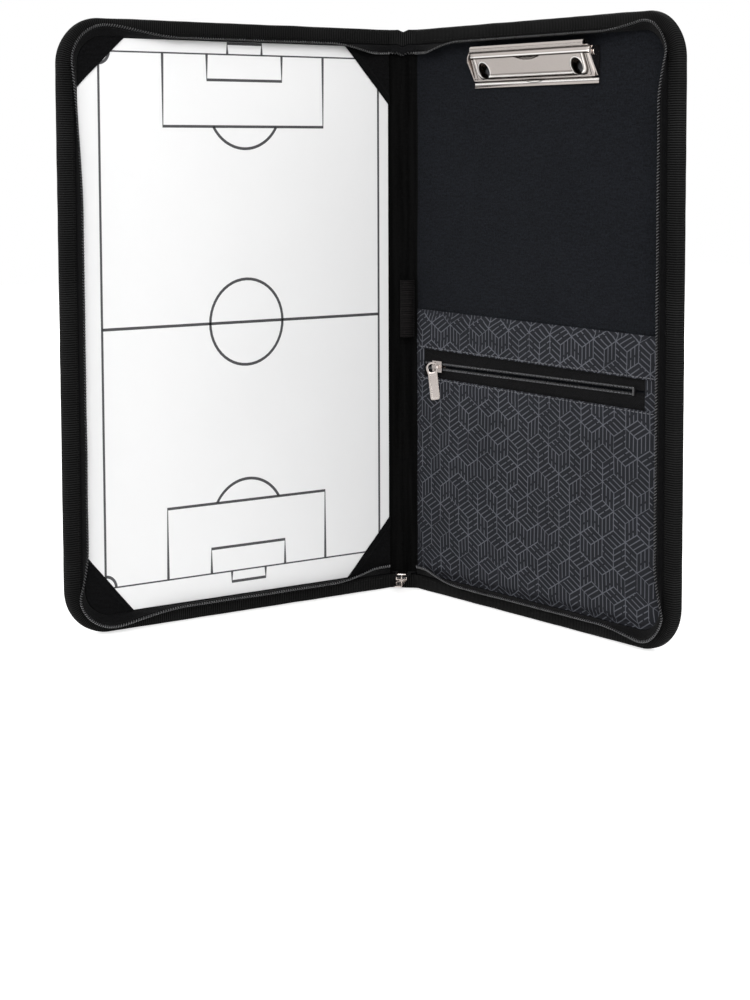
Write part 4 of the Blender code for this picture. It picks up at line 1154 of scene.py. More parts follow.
def binding_section():
    """The folded tape in section, from its inner hem over the edge to its outer hem."""
    high = BINDING_IN_HIGH - BINDING_THICK / 2
    low = BINDING_BACK + BINDING_THICK / 2
    edge = BINDING_THICK / 2
    turn = 2.6 * MM
    flat = BINDING_DEPTH - 2.2 * MM
    hem = BINDING_DEPTH - 0.9 * MM
    hem_high = high - 0.3 * MM
    hem_low = low + 0.45 * MM
    line = [(BINDING_DEPTH, hem_high), (hem, hem_high + 0.05 * MM), (flat, high), (turn, high),
            (edge, high - 0.5 * MM), (edge, low + 0.5 * MM), (turn, low), (flat, low),
            (hem, hem_low - 0.05 * MM), (BINDING_DEPTH, hem_low)]
    return Line(rounded(line, 3))


def make_binding(name, panel):
    """Grosgrain folded over the open edges, with small gathers round the corners."""
    section = binding_section()

    def lie(s, t):
        travelled = s * EDGE_LENGTH
        d, w = section.at(t)
        _, inward = edge_at(travelled)
        round_corner = 1.0 - smooth_step(abs(abs(inward.x) - abs(inward.y)) * 1.2)
        gather = 0.14 * MM * math.sin(travelled / (3.3 * MM) * 2 * math.pi) * round_corner
        wander = 0.22 * MM * ripple(travelled / (16 * MM), w / (4 * MM), 3.0)
        inner = smooth_step(d / BINDING_DEPTH)
        d += wander * (1 - inner) + wander * 0.8 * inner
        w += (gather * inner + wander * 0.35) * (0.5 if w > 0 else -0.5)
        return edge_point(panel, travelled, d, w), (travelled, t * section.length)

    return cloth_piece(name + "_edge_binding", lie, (420, BINDING_ROWS), BINDING_THICK,
                       "binding_tape", panel.body, [name + "_binding"])


def binding_stitches(name, panel):
    """The seam through both legs of the binding."""
    depth = BINDING_DEPTH - 1.5 * MM
    count = 320
    stretches = []
    for w, way in ((BINDING_IN_HIGH - 0.15 * MM, 1), (BINDING_BACK + 0.2 * MM, -1)):
        line = [edge_point(panel, EDGE_LENGTH * i / count, depth, w)
                for i in range(3, count - 2)]
        stretches.append((line, panel.inward * way))
    return stitch_row(name + "_binding_seam", stretches, panel.body)


def tape_section(lean, reach):
    """Middle line of the main zip's half tape in section."""
    flat = 0.6 * MM
    bend = Vector((ZIP_LINE, ZIP_RISE))
    along = Vector((math.sin(lean), math.cos(lean)))
    line = [(3.0 * MM, flat), (ZIP_LINE - 1.0 * MM, flat), (ZIP_LINE, flat + 0.2 * MM),
            tuple(bend), tuple(bend + along * (reach - 0.55 * MM))]
    return Line(rounded(line))


def tape_section_at_fold():
    """The same section where the tape crosses a fold or the spine."""
    return tape_section(math.radians(LEAN_AT_FOLD), ZIP_REACH_AT_FOLD)


def make_zip_tape(name, panel):
    """Half of the main zip's tape, standing up from the binding and leaning as it runs."""

    def lie(s, t):
        travelled = s * EDGE_LENGTH
        section = tape_section(*zip_at(travelled, name))
        d, w = section.at(t)
        return edge_point(panel, travelled, d, w), (travelled, t * section.length)

    return cloth_piece(name + "_zip_tape_cloth", lie, (300, TAPE_ROWS), TAPE_THICK, "zip_tape",
                       panel.body, [name + "_zip_tape"])


def make_coil(name, coil_at, length, pitch, coil, material, body, nodes=()):
    """A wire wound round a line; coil_at gives the line's point and three directions there."""
    tall, wide, wire = coil
    steps = 9
    rings = []
    count = round(length / pitch * steps)
    for number in range(count + 1):
        centre, ahead, up, across = coil_at(number / count * length)
        turn = 2 * math.pi * number / steps
        out = up * math.cos(turn) + across * math.sin(turn)
        spot = centre + up * math.cos(turn) * tall + across * math.sin(turn) * wide
        rings.append(ring(spot, out * wire, ahead * wire, 5))
    return finish_piece(round_object(name, [rings]), name, material, body, nodes)


def make_zip_coil(name, panel):
    """Nylon coil along the tape's inner edge, its dark core and the cords that sew it down."""
    from_fold = 0.7 * MM

    def coil_at(travelled):
        travelled = from_fold + travelled * (1 - 2 * from_fold / EDGE_LENGTH)
        lean, reach = zip_at(travelled, name)
        centre = edge_point(panel, travelled, *coil_place(lean, reach))
        _, flat = edge_at(travelled)
        inward = panel.along * flat.x + Vector((0.0, 0.0, flat.y))
        up = inward * math.sin(lean) + panel.inward * math.cos(lean)
        across = inward * math.cos(lean) - panel.inward * math.sin(lean)
        return centre, up.cross(across).normalized(), up, across

    make_coil(name + "_zip_coil_turns", coil_at, EDGE_LENGTH,
              bpy.context.scene.folder_sizes.coil_pitch, MAIN_COIL, "zip_coil", panel.body,
              [name + "_zip_coil"])
    count = 399
    cords = []
    for below, beside, tall, wide in MAIN_ZIP_CORDS:
        rings = []
        for number in range(count + 1):
            centre, _, up, across = coil_at(EDGE_LENGTH * number / count)
            middle = centre - up * below + across * beside
            rings.append(ring(middle, up * tall, across * wide, 8))
        cords.append(rings)
    cords_name = name + "_zip_sewing_cords"
    return finish_piece(round_object(cords_name, cords), cords_name, "black_cord", panel.body)


# Folds

def spine_drop(u):
    """How far the top edge of the spine dips at a place across it."""
    return SPINE_NOTCH * max(0.0, 1.0 - abs(u) / (SPINE_HALF / 2.6))


def fold_point(cover, t, v, w):
    """A point on fabric that turns from a cover at t = 0 to the spine at t = 1."""
    side = 1 if cover is BACK else -1
    back_off = FOLD_LAP + max(0.0, w)
    start = cover.at(back_off, v, w)
    end = SPINE.at(side * (SPINE_HALF - back_off), v, w)
    middle = (cover.inward + SPINE.inward).normalized()
    corner = cover.origin + Vector((0.0, 0.0, v)) + middle * w / math.cos(math.radians(22.5))
    return start.lerp(corner, t).lerp(corner.lerp(end, t), t)


def bend_over_fold(thing, cover):
    """Bakes a piece's place into its mesh; the piece is already laid round the fold between a cover
    and the spine.
    """
    side = 1 if cover is BACK else -1
    start = cover.at(FOLD_LAP, 0.0, 0.0)
    end = SPINE.at(side * (SPINE_HALF - FOLD_LAP), 0.0, 0.0)
    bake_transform(thing)


def fold_cloth(fold, part, cover, w, material):
    """The outer or inner fabric over a fold, slightly puckered."""

    def lie(s, t):
        v = LAYER_INSET + t * (COVER_HEIGHT - 2 * LAYER_INSET)
        pucker = 0.12 * MM * ripple(s * 2, v / (12 * MM), len(fold + part))
        point = fold_point(cover, s, v, w + pucker * math.sin(math.pi * s))
        return point, (s * FOLD_WIDTH, v)

    return cloth_piece(fold + "_" + part + "_cloth", lie, (12, 120), CLOTH_THICK, material, None)


def fold_run(name, cover, section, at_top, rows, thickness, material):
    """The binding or the zip tape over a fold's end."""

    def lie(s, t):
        d, w = section.at(t)
        v = COVER_HEIGHT - d if at_top else d
        return fold_point(cover, s, v, w), (s * FOLD_WIDTH, t * section.length)

    return cloth_piece(name, lie, (10, rows), thickness, material, None)


def fold_coil(name, cover):
    """The main zip's coil over a fold's top."""
    d, w = coil_place(math.radians(LEAN_AT_FOLD), ZIP_REACH_AT_FOLD)
    bend = Line([fold_point(cover, i / 12, COVER_HEIGHT - d, w) for i in range(13)])

    def coil_at(travelled):
        share = travelled / bend.length
        ahead = (bend.at(share + 0.05) - bend.at(share - 0.05)).normalized()
        up = Vector((0.0, 0.0, -1.0))
        return bend.at(share), ahead, up, ahead.cross(up).normalized()

    return make_coil(name, coil_at, bend.length, bpy.context.scene.folder_sizes.coil_pitch,
                     MAIN_COIL, "small_zip_coil", None)


def make_fold(name, cover):
    """Fabric over a fold: outside, inside, and the binding and zip at its two ends."""
    binding = (BINDING_ROWS, BINDING_THICK, "binding_tape")
    made = [fold_cloth(name, "outer", cover, SHELL_MIDDLE, "shell_fabric"),
            fold_cloth(name, "inner", cover, LINING_MIDDLE, "dark_lining"),
            fold_run(name + "_binding_top", cover, binding_section(), True, *binding),
            fold_run(name + "_binding_foot", cover, binding_section(), False, *binding),
            fold_run(name + "_zip_tape_bend", cover, tape_section_at_fold(), True, TAPE_ROWS,
                     TAPE_THICK, "zip_tape"),
            fold_coil(name + "_zip_coil_bend", cover)]
    for thing in made:
        bend_over_fold(thing, cover)


# Spine

def spine_sheet(name, w, depth, material, node):
    """A sheet between the folds, creased lengthwise."""
    reach = SPINE_HALF - GAP

    def lie(s, t):
        u = (2 * s - 1) * reach
        top = COVER_HEIGHT - LAYER_INSET - 0.4 * MM - spine_drop(u)
        v = LAYER_INSET + t * (top - LAYER_INSET)
        crease = ripple(u / (3.2 * MM), v / (70 * MM), w / MM)
        crease += 0.5 * ripple(u / (1.8 * MM), v / (25 * MM), 4.0)
        ends = smooth_step(min(v, COVER_HEIGHT - v) / (25 * MM)) * (1 - (u / reach) ** 2)
        return SPINE.at(u, v, w + depth * crease * ends), (u, v)

    return cloth_piece(name, lie, (30, 160), CLOTH_THICK, material, "spine", [node])


def spine_run(name, section, at_top, rows, thickness, material, node):
    """The binding or the zip tape across the spine's end, mitred at both folds."""

    def lie(s, t):
        d, w = section.at(t)
        reach = SPINE_HALF - GAP - max(0.0, w)
        u = (2 * s - 1) * reach
        wrinkle = 0.16 * MM * ripple(u / (2.4 * MM), d / (6 * MM), 8.0 if at_top else 7.0)
        wrinkle *= 1 - (u / reach) ** 2
        v = COVER_HEIGHT - d - spine_drop(u) - wrinkle if at_top else d + wrinkle
        return SPINE.at(u, v, w + 0.5 * wrinkle), (u, t * section.length)

    return cloth_piece(name, lie, (40, rows), thickness, material, "spine", [node])


def spine_coil():
    """The main zip's coil over the spine's top."""
    d, w = coil_place(math.radians(LEAN_AT_FOLD), ZIP_REACH_AT_FOLD)
    reach = SPINE_HALF - GAP - w - 0.6 * MM

    def coil_at(travelled):
        u = travelled - reach
        centre = SPINE.at(u, COVER_HEIGHT - d - spine_drop(u), w)
        return centre, SPINE.along, Vector((0.0, 0.0, -1.0)), SPINE.inward

    make_coil("spine_top_zip_coil", coil_at, 2 * reach, bpy.context.scene.folder_sizes.coil_pitch,
              MAIN_COIL, "small_zip_coil", "spine", ["spine_zip_coil_top"])


def make_spine():
    """Fabric outside and inside, the bindings of both ends and the zip over the top."""
    spine_sheet("spine_outer_fabric", SHELL_MIDDLE, 0.12 * MM, "shell_fabric", "spine_shell")
    spine_sheet("spine_inner_fabric", LINING_MIDDLE, 0.35 * MM, "crease_shaded_lining", "spine_lining")
    for end in ("top", "foot"):
        spine_run("spine_" + end + "_binding", binding_section(), end == "top", BINDING_ROWS,
                  BINDING_THICK, "binding_tape", "spine_binding_" + end)
    spine_run("spine_top_zip_tape", tape_section_at_fold(), True, TAPE_ROWS, TAPE_THICK,
              "zip_tape", "spine_zip_tape_top")
    spine_coil()


def make_pen_loop():
    """Ribbed elastic, sewn down at both sides and standing off the spine."""
    half = PEN_LOOP_WIDTH / 2
    foot = half + 0.2 * MM
    radius = half - PEN_LOOP_FABRIC / 2
    bend = 0.9 * MM
    straight = PEN_LOOP_RISE - half
    arch = [(radius * math.cos(a), straight + radius * math.sin(a))
            for a in (math.radians(10 * i) for i in range(1, 18))]
    section = Line(rounded([(foot, 0.0), (radius, bend), (radius, straight), *arch,
                            (-radius, straight), (-radius, bend), (-foot, 0.0)]))

    def lie(s, t):
        x, w = section.at(s)
        lean = 0.35 * MM * math.sin(math.pi * t) + 0.3 * MM * ripple(0.0, 0.0, t * 3)
        slump = lean * w / PEN_LOOP_RISE
        v = PEN_LOOP_FOOT + t * PEN_LOOP_HEIGHT
        rib = 0.07 * MM * math.cos(2 * math.pi * t * PEN_LOOP_RIBS)
        return SPINE.at(PEN_LOOP_CENTRE + x + slump, v, GAP + w + rib), (v, s * section.length)

    return cloth_piece("pen_loop_elastic", lie, (44, 132), PEN_LOOP_FABRIC, "elastic_band",
                       "spine", ["pen_loop"], degrees=60.0)


def make_main_zip_end():
    """Coils at the closed end of the main zip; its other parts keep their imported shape."""
    start = MAIN_SLIDER_CENTRE - 4.5 * MM
    beside = 1.6 * MM
    height = ZIP_LINE - 1.1 * MM
    for name, way in (("left", -1), ("right", 1)):
        def coil_at(travelled, way=way):
            centre = SPINE.at(way * beside, height, start + travelled)
            return centre, SPINE.inward, Vector((0.0, 0.0, 1.0)), SPINE.along * way

        make_coil("main_zip_end_turns_" + name, coil_at, TONGUE_LENGTH - start, ZIP_END_PITCH,
                  ZIP_END_COIL, "zip_coil", "spine", ["main_zip_end_coil_" + name])
    paint_node("main_zip_end_tape", "zip_tape")


# Tactics board

def flat_line(points, width, closed=False):
    """Left and right edges of a line of (u, v) points."""
    count = len(points)
    pairs = []
    for number, point in enumerate(points):
        before = points[number - 1] if number or closed else point
        after = points[(number + 1) % count] if number + 1 < count or closed else point
        ahead = (Vector(after) - Vector(before)).normalized()
        across = Vector((-ahead.y, ahead.x)) * width / 2
        pairs.append((Vector(point) - across, Vector(point) + across))
    if closed:
        pairs.append(pairs[0])
    return pairs


def printed_lines(name, lines, width, under, over, material):
    """Print on the front cover with a hair's height; under and over give its faces' heights."""
    tubes = []
    for line, closed in lines:
        rings = []
        for left, right in flat_line(line, width, closed):
            rings.append([FRONT.at(side.x, side.y, height(side.x, side.y))
                          for side, height in ((left, under), (right, under), (right, over),
                                               (left, over))])
        tubes.append(rings)
    return finish_piece(tubes_object(name, tubes), name, material, "front_cover")


def circle_part(centre, radius, start, end, steps=48):
    """An arc between two angles in degrees."""
    angles = [math.radians(start + (end - start) * i / steps) for i in range(steps + 1)]
    return [(centre[0] + radius * math.cos(a), centre[1] + radius * math.sin(a)) for a in angles]


def box_line(left, right, low, high):
    return [(left, low), (right, low), (right, high), (left, high)]


def make_board():
    """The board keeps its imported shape; a football pitch is printed on it."""
    ease_edges("tactics_board", 0.35 * MM)
    paint_node("tactics_board", "board_white")
    left, right, foot, top = PITCH_SIDES
    middle = (left + right) / 2
    half_way = (foot + top) / 2 - HALF_WAY_DROP
    lines = [(box_line(left, right, foot, top), True),
             ([(left, half_way), (right, half_way)], False),
             (circle_part((middle, half_way), CENTRE_CIRCLE, 0, 360)[:-1], True)]
    for end, way in ((top, -1), (foot, 1)):
        for half, depth in PITCH_AREAS:
            lines.append(([(middle - half, end), (middle - half, end + way * depth),
                           (middle + half, end + way * depth), (middle + half, end)], False))
        spot = (middle, end + way * PENALTY_SPOT)
        lines.append((circle_part(spot, PENALTY_ARC, 90 * way - PENALTY_ARC_ANGLE,
                                  90 * way + PENALTY_ARC_ANGLE), False))
        lines.append((circle_part((left, end), CORNER_ARC, 0, 90 * way), False))
        lines.append((circle_part((right, end), CORNER_ARC, 180, 180 - 90 * way), False))
    printed_lines("pitch_drawing", lines, bpy.context.scene.folder_sizes.print_line,
                  lambda u, v: BOARD_FACE - 0.1 * MM, lambda u, v: BOARD_FACE + 0.04 * MM,
                  "pitch_print")


def make_corner_pocket(end, side):
    """A fabric corner with a rolled slanting edge, pulled tight over the board."""
    margin = INNER_MARGIN - 0.15 * MM
    low = BOARD_FACE + GAP + 0.25 * MM
    across, rise = CORNER_POCKETS[end, side]
    if side == "fold":
        near = 2.1 * MM
        outline = [(near, margin + rise), (near, margin), (near + across, margin)]
    else:
        far = COVER_WIDTH - margin
        radius = CORNER_RADIUS - margin
        arc = circle_part((far - radius, margin + radius), radius, -90, 0, 16)
        outline = [(far - across, margin), *arc, (far, margin + rise)]
    outer = Line([(u, v, 0.0) for u, v in outline])
    first, last = outer.points[0], outer.points[-1]
    section = Line(rounded([(d * MM, w * MM) for d, w in ROLLED_EDGE]))
    split = 0.55
    lowest = -1.6 * MM

    def lie(s, t):
        edge = first.lerp(last, s)
        inward = outer.at(s) - edge
        depth = inward.length
        sag = 0.2 * MM * (math.sin(math.pi * s) + ripple(s * 3, 2.0, 5.0))
        if t < split:
            d, w = section.at(t / split)
            reach = d + sag
        else:
            share = (t - split) / (1 - split)
            reach = section.points[-1].x + sag
            reach += (depth - reach) * min(1.0, share / 0.95)
            w = 0.2 * MM * math.sin(math.pi * share) * ripple(s * 4, share * 2, 9.0)
            w = max(w, -0.15 * MM) - 1.5 * MM * smooth_step((share - 0.93) / 0.07)
        spot = edge + inward * (min(reach, depth) / max(depth, 1e-6))
        v = COVER_HEIGHT - spot.y if end == "top" else spot.y
        return FRONT.at(spot.x, v, low + max(w, lowest)), (spot.x, v)

    name = "corner_pocket_" + end + "_" + side
    return cloth_piece(name + "_cloth", lie, (40, 60), THIN_CLOTH, "corner_fabric", "front_cover",
                       [name])


# Pocket

def pocket_slope(u):
    """How far the pocket's level edges run out of level, from the fold to the outer side."""
    return (0.5 - (u - POCKET_AT_FOLD) / (POCKET_FAR - POCKET_AT_FOLD)) * POCKET_SLOPE


def pocket_height(from_edges, from_zip, u, v, bulge):
    """Height of the pocket's fabric: sewn down at its edges, rising to a soft panel."""
    rise = smooth_step(from_edges / POCKET_HEM)
    fold = ripple(u / (38 * MM), v / (26 * MM), 8.0)
    fine = ripple(u / (9 * MM), v / (14 * MM), 2.0)
    full = smooth_step(from_edges / (40 * MM)) * smooth_step((from_zip + 12 * MM) / (50 * MM))
    seam = 0.25 * MM * math.exp(-((from_edges - 2.4 * MM) / (0.5 * MM)) ** 2)
    hem = 0.22 * MM * smooth_step((POCKET_HEM - from_zip) / (0.8 * MM))
    sewn, raised = 0.75, 1.85
    height = (sewn + raised * rise) * MM + bulge * full * (1 + 0.45 * fold)
    return height + 0.1 * MM * fine * rise + hem - seam


def pocket_lower_cloth():
    """The lower panel, round at its outer foot corner."""
    radius = CORNER_RADIUS - INNER_MARGIN
    corner_share = 0.18

    def reach(v):
        from_foot = v - INNER_MARGIN
        if from_foot >= radius:
            return POCKET_FAR
        return POCKET_FAR - radius + math.sqrt(max(0.0, radius ** 2 - (radius - from_foot) ** 2))

    def lie(s, t):
        if t < corner_share:
            v = INNER_MARGIN + radius * (1 - math.cos(math.pi / 2 * t / corner_share))
        else:
            above = POCKET_PANEL_TOP - INNER_MARGIN - radius
            v = INNER_MARGIN + radius + above * (t - corner_share) / (1 - corner_share)
        far = reach(v)
        u = POCKET_AT_FOLD + s * (far - POCKET_AT_FOLD)
        from_zip = POCKET_PANEL_TOP - v
        v += pocket_slope(u) * smooth_step(1 - from_zip / (70 * MM))
        from_edges = min(u - POCKET_AT_FOLD, far - u, v - INNER_MARGIN)
        return BACK.at(u, v, pocket_height(from_edges, from_zip, u, v, 0.9 * MM)), (u, v)

    cloth_piece("pocket_lower_cloth", lie, (150, 110), CLOTH_THICK, "pocket_print", "back_cover",
                ["pocket_lower_panel"])


def pocket_upper_cloth():
    """The band over the zip."""

    def lie(s, t):
        u = POCKET_AT_FOLD + s * (POCKET_FAR - POCKET_AT_FOLD)
        v = POCKET_BAND_FOOT + t * (POCKET_TOP - POCKET_BAND_FOOT)
        from_zip = v - POCKET_BAND_FOOT
        from_edges = min(u - POCKET_AT_FOLD, POCKET_FAR - u, POCKET_TOP - v)
        v += pocket_slope(u)
        return BACK.at(u, v, pocket_height(from_edges, from_zip, u, v, 0.25 * MM)), (u, v)

    cloth_piece("pocket_upper_cloth", lie, (150, 40), CLOTH_THICK, "pocket_print", "back_cover",
                ["pocket_upper_band"])


def pocket_hem_stitches():
    """Light stitches along both hems beside the zip."""
    from_zip = 1.0 * MM
    count = 119
    stretches = []
    for v, way in ((POCKET_PANEL_TOP, -1), (POCKET_BAND_FOOT, 1)):
        line = []
        for number in range(count + 1):
            u = 4 * MM + (POCKET_FAR - 6 * MM) * number / count
            spot = v + way * from_zip + pocket_slope(u)
            from_edges = min(u - POCKET_AT_FOLD, POCKET_FAR - u)
            height = pocket_height(from_edges, from_zip, u, spot, 0.3 * MM)
            line.append(BACK.at(u, spot, height + 0.25 * MM))
        stretches.append((line, BACK.inward))
    stitch_row("pocket_hem_stitches", stretches, "back_cover", "light_thread",
               1.3)


def pocket_zip_tab(name, start, end):
    """The cloth over one end of the pocket's zip."""

    def lie(s, t):
        u = start + s * (end - start)
        v = POCKET_PANEL_TOP - 1.5 * MM + t * (POCKET_ZIP_OPENING + 3 * MM)
        v += pocket_slope(u)
        edge = smooth_step(min(u - POCKET_AT_FOLD, POCKET_FAR - u) / (3 * MM))
        free = u - start if name == "outer" else end - u
        lip = smooth_step(free / (0.5 * MM))
        return BACK.at(u, v, (0.75 + 0.9 * edge + 0.25 * lip) * MM), (u, v)

    cloth_piece("pocket_zip_tab_" + name + "_cloth", lie, (24, 24), TAPE_THICK, "pocket_print",
                "back_cover", ["pocket_zip_tab_" + name])


def make_pocket():
    """The pocket's lower panel and upper band, with folded hems along the zip."""
    pocket_lower_cloth()
    pocket_upper_cloth()
    pocket_hem_stitches()
    pocket_zip_tab("fold", POCKET_AT_FOLD, POCKET_ZIP_START)
    pocket_zip_tab("outer", POCKET_TAPE_END, POCKET_FAR)


def pocket_zip_half(name, way):
    """One tape of the pocket's zip, its coil and the stitches that hold the coil."""
    coil_end = POCKET_ZIP_END - 2.1 * MM

    def lie(s, t):
        u = POCKET_ZIP_START + s * (POCKET_TAPE_END - POCKET_ZIP_START)
        v = POCKET_ZIP_HEIGHT + way * (SMALL_TAPE_INNER + t * SMALL_TAPE_WIDTH)
        wave = 0.08 * MM * ripple(u / (14 * MM), way, 0.0)
        return BACK.at(u, v, SMALL_TAPE_MIDDLE + wave * t), (u, v)

    cloth_piece("pocket_zip_tape_" + name + "_cloth", lie, (90, 8), THIN_CLOTH, "zip_tape",
                "back_cover", ["pocket_zip_tape_" + name])

    def beside_zip(u, place):
        beside, above = place
        return BACK.at(u, POCKET_ZIP_HEIGHT + way * beside, SMALL_TAPE_MIDDLE + above)

    def coil_at(travelled):
        centre = beside_zip(POCKET_COIL_START + travelled, SMALL_COIL_PLACE)
        return centre, BACK.along, BACK.inward, Vector((0.0, 0.0, way))

    make_coil("pocket_zip_turns_" + name, coil_at, coil_end - POCKET_COIL_START,
              bpy.context.scene.folder_sizes.small_coil_pitch, POCKET_COIL, "small_zip_coil",
              "back_cover", ["pocket_zip_coil_" + name])
    line = [beside_zip(POCKET_COIL_START + (coil_end - POCKET_COIL_START) * i / 60,
                       SMALL_CORD_PLACE) for i in range(61)]
    stitch_row("pocket_zip_cord_" + name, [(line, BACK.inward)], "back_cover",
               "light_thread", 0.9)


def make_pocket_zip():
    """Both halves of the pocket's zip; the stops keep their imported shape."""
    pocket_zip_half("upper", 1)
    pocket_zip_half("lower", -1)
    for node, material in (("pocket_zip_top_stop_upper", "small_zip_coil"),
                           ("pocket_zip_top_stop_lower", "small_zip_coil"),
                           ("pocket_zip_bottom_stop", "small_zip_coil"),
                           ("main_zip_end_stop", "nickel")):
        ease_edges(node, 0.25 * MM)
        paint_node(node, material)


def make_pocket_pull():
    """The pocket zip's pull, turned on the slider's arch: an eye and a plate with sunk faces."""
    pin = next(Vector(j["pos_m"]) for j in frame["joints"] if j["name"] == "pocket_pull_swing")
    thick = 1.1 * MM
    middle = Vector((-1.0, -1.0)) * MM
    side = 3.0 * MM
    neck = middle.y - 3.6 * MM
    foot = -20.6 * MM
    corner = 1.4 * MM
    sunk_half = 1.9 * MM
    web = thick * 0.28

    def block(line, low, high):
        return round_object("pocket_zip_pull_plate",
                            [[[Vector((x, y, h)) for x, y in line] for h in (low, high)]])

    outline = [*circle_part(middle, 3.8 * MM, -20, 200, 30), (middle.x - side, neck),
               *circle_part((middle.x - side + corner, foot + corner), corner, 180, 270, 6),
               *circle_part((middle.x + side - corner, foot + corner), corner, 270, 360, 6),
               (middle.x + side, neck)]
    thing = block(outline, -thick / 2, thick / 2)
    eye = [(middle.x + 2.5 * MM * math.copysign(abs(math.cos(t)) ** 0.8, math.cos(t)),
            middle.y + 2.6 * MM * math.copysign(abs(math.sin(t)) ** 0.8, math.sin(t)))
           for t in (2 * math.pi * k / 32 for k in range(32))]
    sunk = box_line(middle.x - sunk_half, middle.x + sunk_half, foot + 1.3 * MM,
                    middle.y - 4.4 * MM)
    for line, low, high in ((eye, -thick, thick), (sunk, web, thick), (sunk, -thick, -web)):
        cut_away(thing, block(line, low, high))
    add_modifier(thing, "BEVEL", width=0.2 * MM, segments=3, limit_method="ANGLE",
                 angle_limit=math.radians(40), harden_normals=False)
    turn = (Matrix.Rotation(math.radians(34), 3, "Z") @ Matrix.Rotation(math.radians(-9), 3, "Y")
            @ Matrix.Rotation(math.radians(-8), 3, "X"))
    for vertex in thing.data.vertices:
        x, y, h = vertex.co
        vertex.co = pin + turn @ Vector((x, -h, y))
    face_outwards(thing)
    smooth(thing)
    return finish_piece(thing, "pocket_zip_pull_plate", "nickel", "pocket_zip_pull",
                        ["pocket_zip_pull"])


def make_sliders():
    """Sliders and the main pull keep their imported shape, with eased edges."""
    for node in ("pocket_zip_slider", "main_zip_slider"):
        ease_edges(node, 0.18 * MM)
        paint_node(node, "nickel")
    ease_edges("main_zip_pull", 0.22 * MM, 3)
    paint_node("main_zip_pull", "nickel")
    make_pocket_pull()


# Lever clip

def clip_at(a, b, w):
    """a across from the clip's centre, b up from its lower edge, w off the cover."""
    return BACK.at(CLIP_CENTRE + a, CLIP_FOOT + b, w)


def sheets_object(name, sheets):
    """Sheets of one object, each a list of rows of points."""
    points, faces = [], []
    for rows in sheets:
        columns = len(rows[0])
        for row, points_along in enumerate(rows):
            start = len(points)
            points += points_along
            if row:
                faces += [(start - columns + c, start - columns + c + 1, start + c + 1, start + c)
                          for c in range(columns - 1)]
    return mesh_object(name, points, faces)


def lever_line():
    """The lever in section: lip, step, sloped plate, flat band, groove and rolled thumb edge."""
    curl = [(22.6 + 1.7 * math.cos(math.radians(a)), 7.4 + 1.7 * math.sin(math.radians(a)))
            for a in range(160, -145, -20)]
    line = [(0.0, 1.0), (0.5, 0.7), (1.4, 0.72), (1.7, 0.62), (2.0, 0.72), (3.1, 0.7), (4.2, 2.4),
            (5.2, 2.8), (17.0, 7.4), (17.5, 8.0), (20.3, 7.5)] + curl
    return [Vector((b * MM, w * MM)) for b, w in line]


def lever_rows():
    """Points of the lever's section, close together on its plate, with their stretches' numbers."""
    profile = lever_line()
    rows = []
    for number, (first, last) in enumerate(zip(profile, profile[1:])):
        count = LEVER_DIVIDED.get(number, 2 if number >= LEVER_CURL else 1)
        rows += [(first.lerp(last, i / count), number) for i in range(count)]
    rows.append((profile[-1], len(profile) - 1))
    return [point for point, _ in rows], [number for _, number in rows]


def plate_relief(a, b):
    """Pressed shapes of the lever: its frame, rims round the holes, a bulge at the step, a dimple."""
    height = 0.0
    flat_from = 17.6 * MM
    for way in (-1, 1):
        away = math.hypot(a - way * RIVET_SPREAD, b - HOLE_ALONG)
        height += 0.35 * MM * math.exp(-((away - HOLE_RIM) / (0.6 * MM)) ** 2)
    bulge = 1 - (a / (14.5 * MM)) ** 2
    if bulge > 0:
        height += 0.7 * MM * bulge * math.exp(-((b - 3.7 * MM) / (1.1 * MM)) ** 2)
    dimple = 2.3 * MM * (1 - (a / (12 * MM)) ** 2)
    below = PLATE_TOP - b
    if 0 < below < dimple:
        height -= 0.7 * MM * math.sin(math.pi * below / dimple)
    side = max(abs(a) - FRAME_HALF_WIDTH + FRAME_CORNER, 0.0)
    foot = max(FRAME_FOOT + FRAME_CORNER - b, 0.0)
    outside = math.hypot(side, foot) - FRAME_CORNER
    height += 0.42 * MM * math.exp(-(outside / (0.6 * MM)) ** 2)
    sunk = smooth_step((outside - 0.5 * MM) / (0.9 * MM)) * smooth_step((b - 4.4 * MM) / (1.5 * MM))
    height -= 0.75 * MM * sunk
    return height * smooth_step((flat_from - b) / (0.8 * MM))


def lever_plate(line):
    """The lever between its shoulders, with its pressed shapes."""
    columns = 301
    across = [(2 * column / (columns - 1) - 1) * LEVER_FLAT_HALF_WIDTH
              for column in range(columns)]
    rows = []
    for b, w in line:
        rows.append([clip_at(a, b, w + (plate_relief(a, b) if b > 3 * MM else 0.0))
                     for a in across])
    return rows


def lever_shoulder(line, way):
    """The lip's end, out to the clip's full width."""
    beyond = CLIP_HALF_WIDTH - LEVER_FLAT_HALF_WIDTH
    return [[clip_at(way * (LEVER_FLAT_HALF_WIDTH + beyond * column / 3), b, w)
             for column in range(4)] for b, w in line]


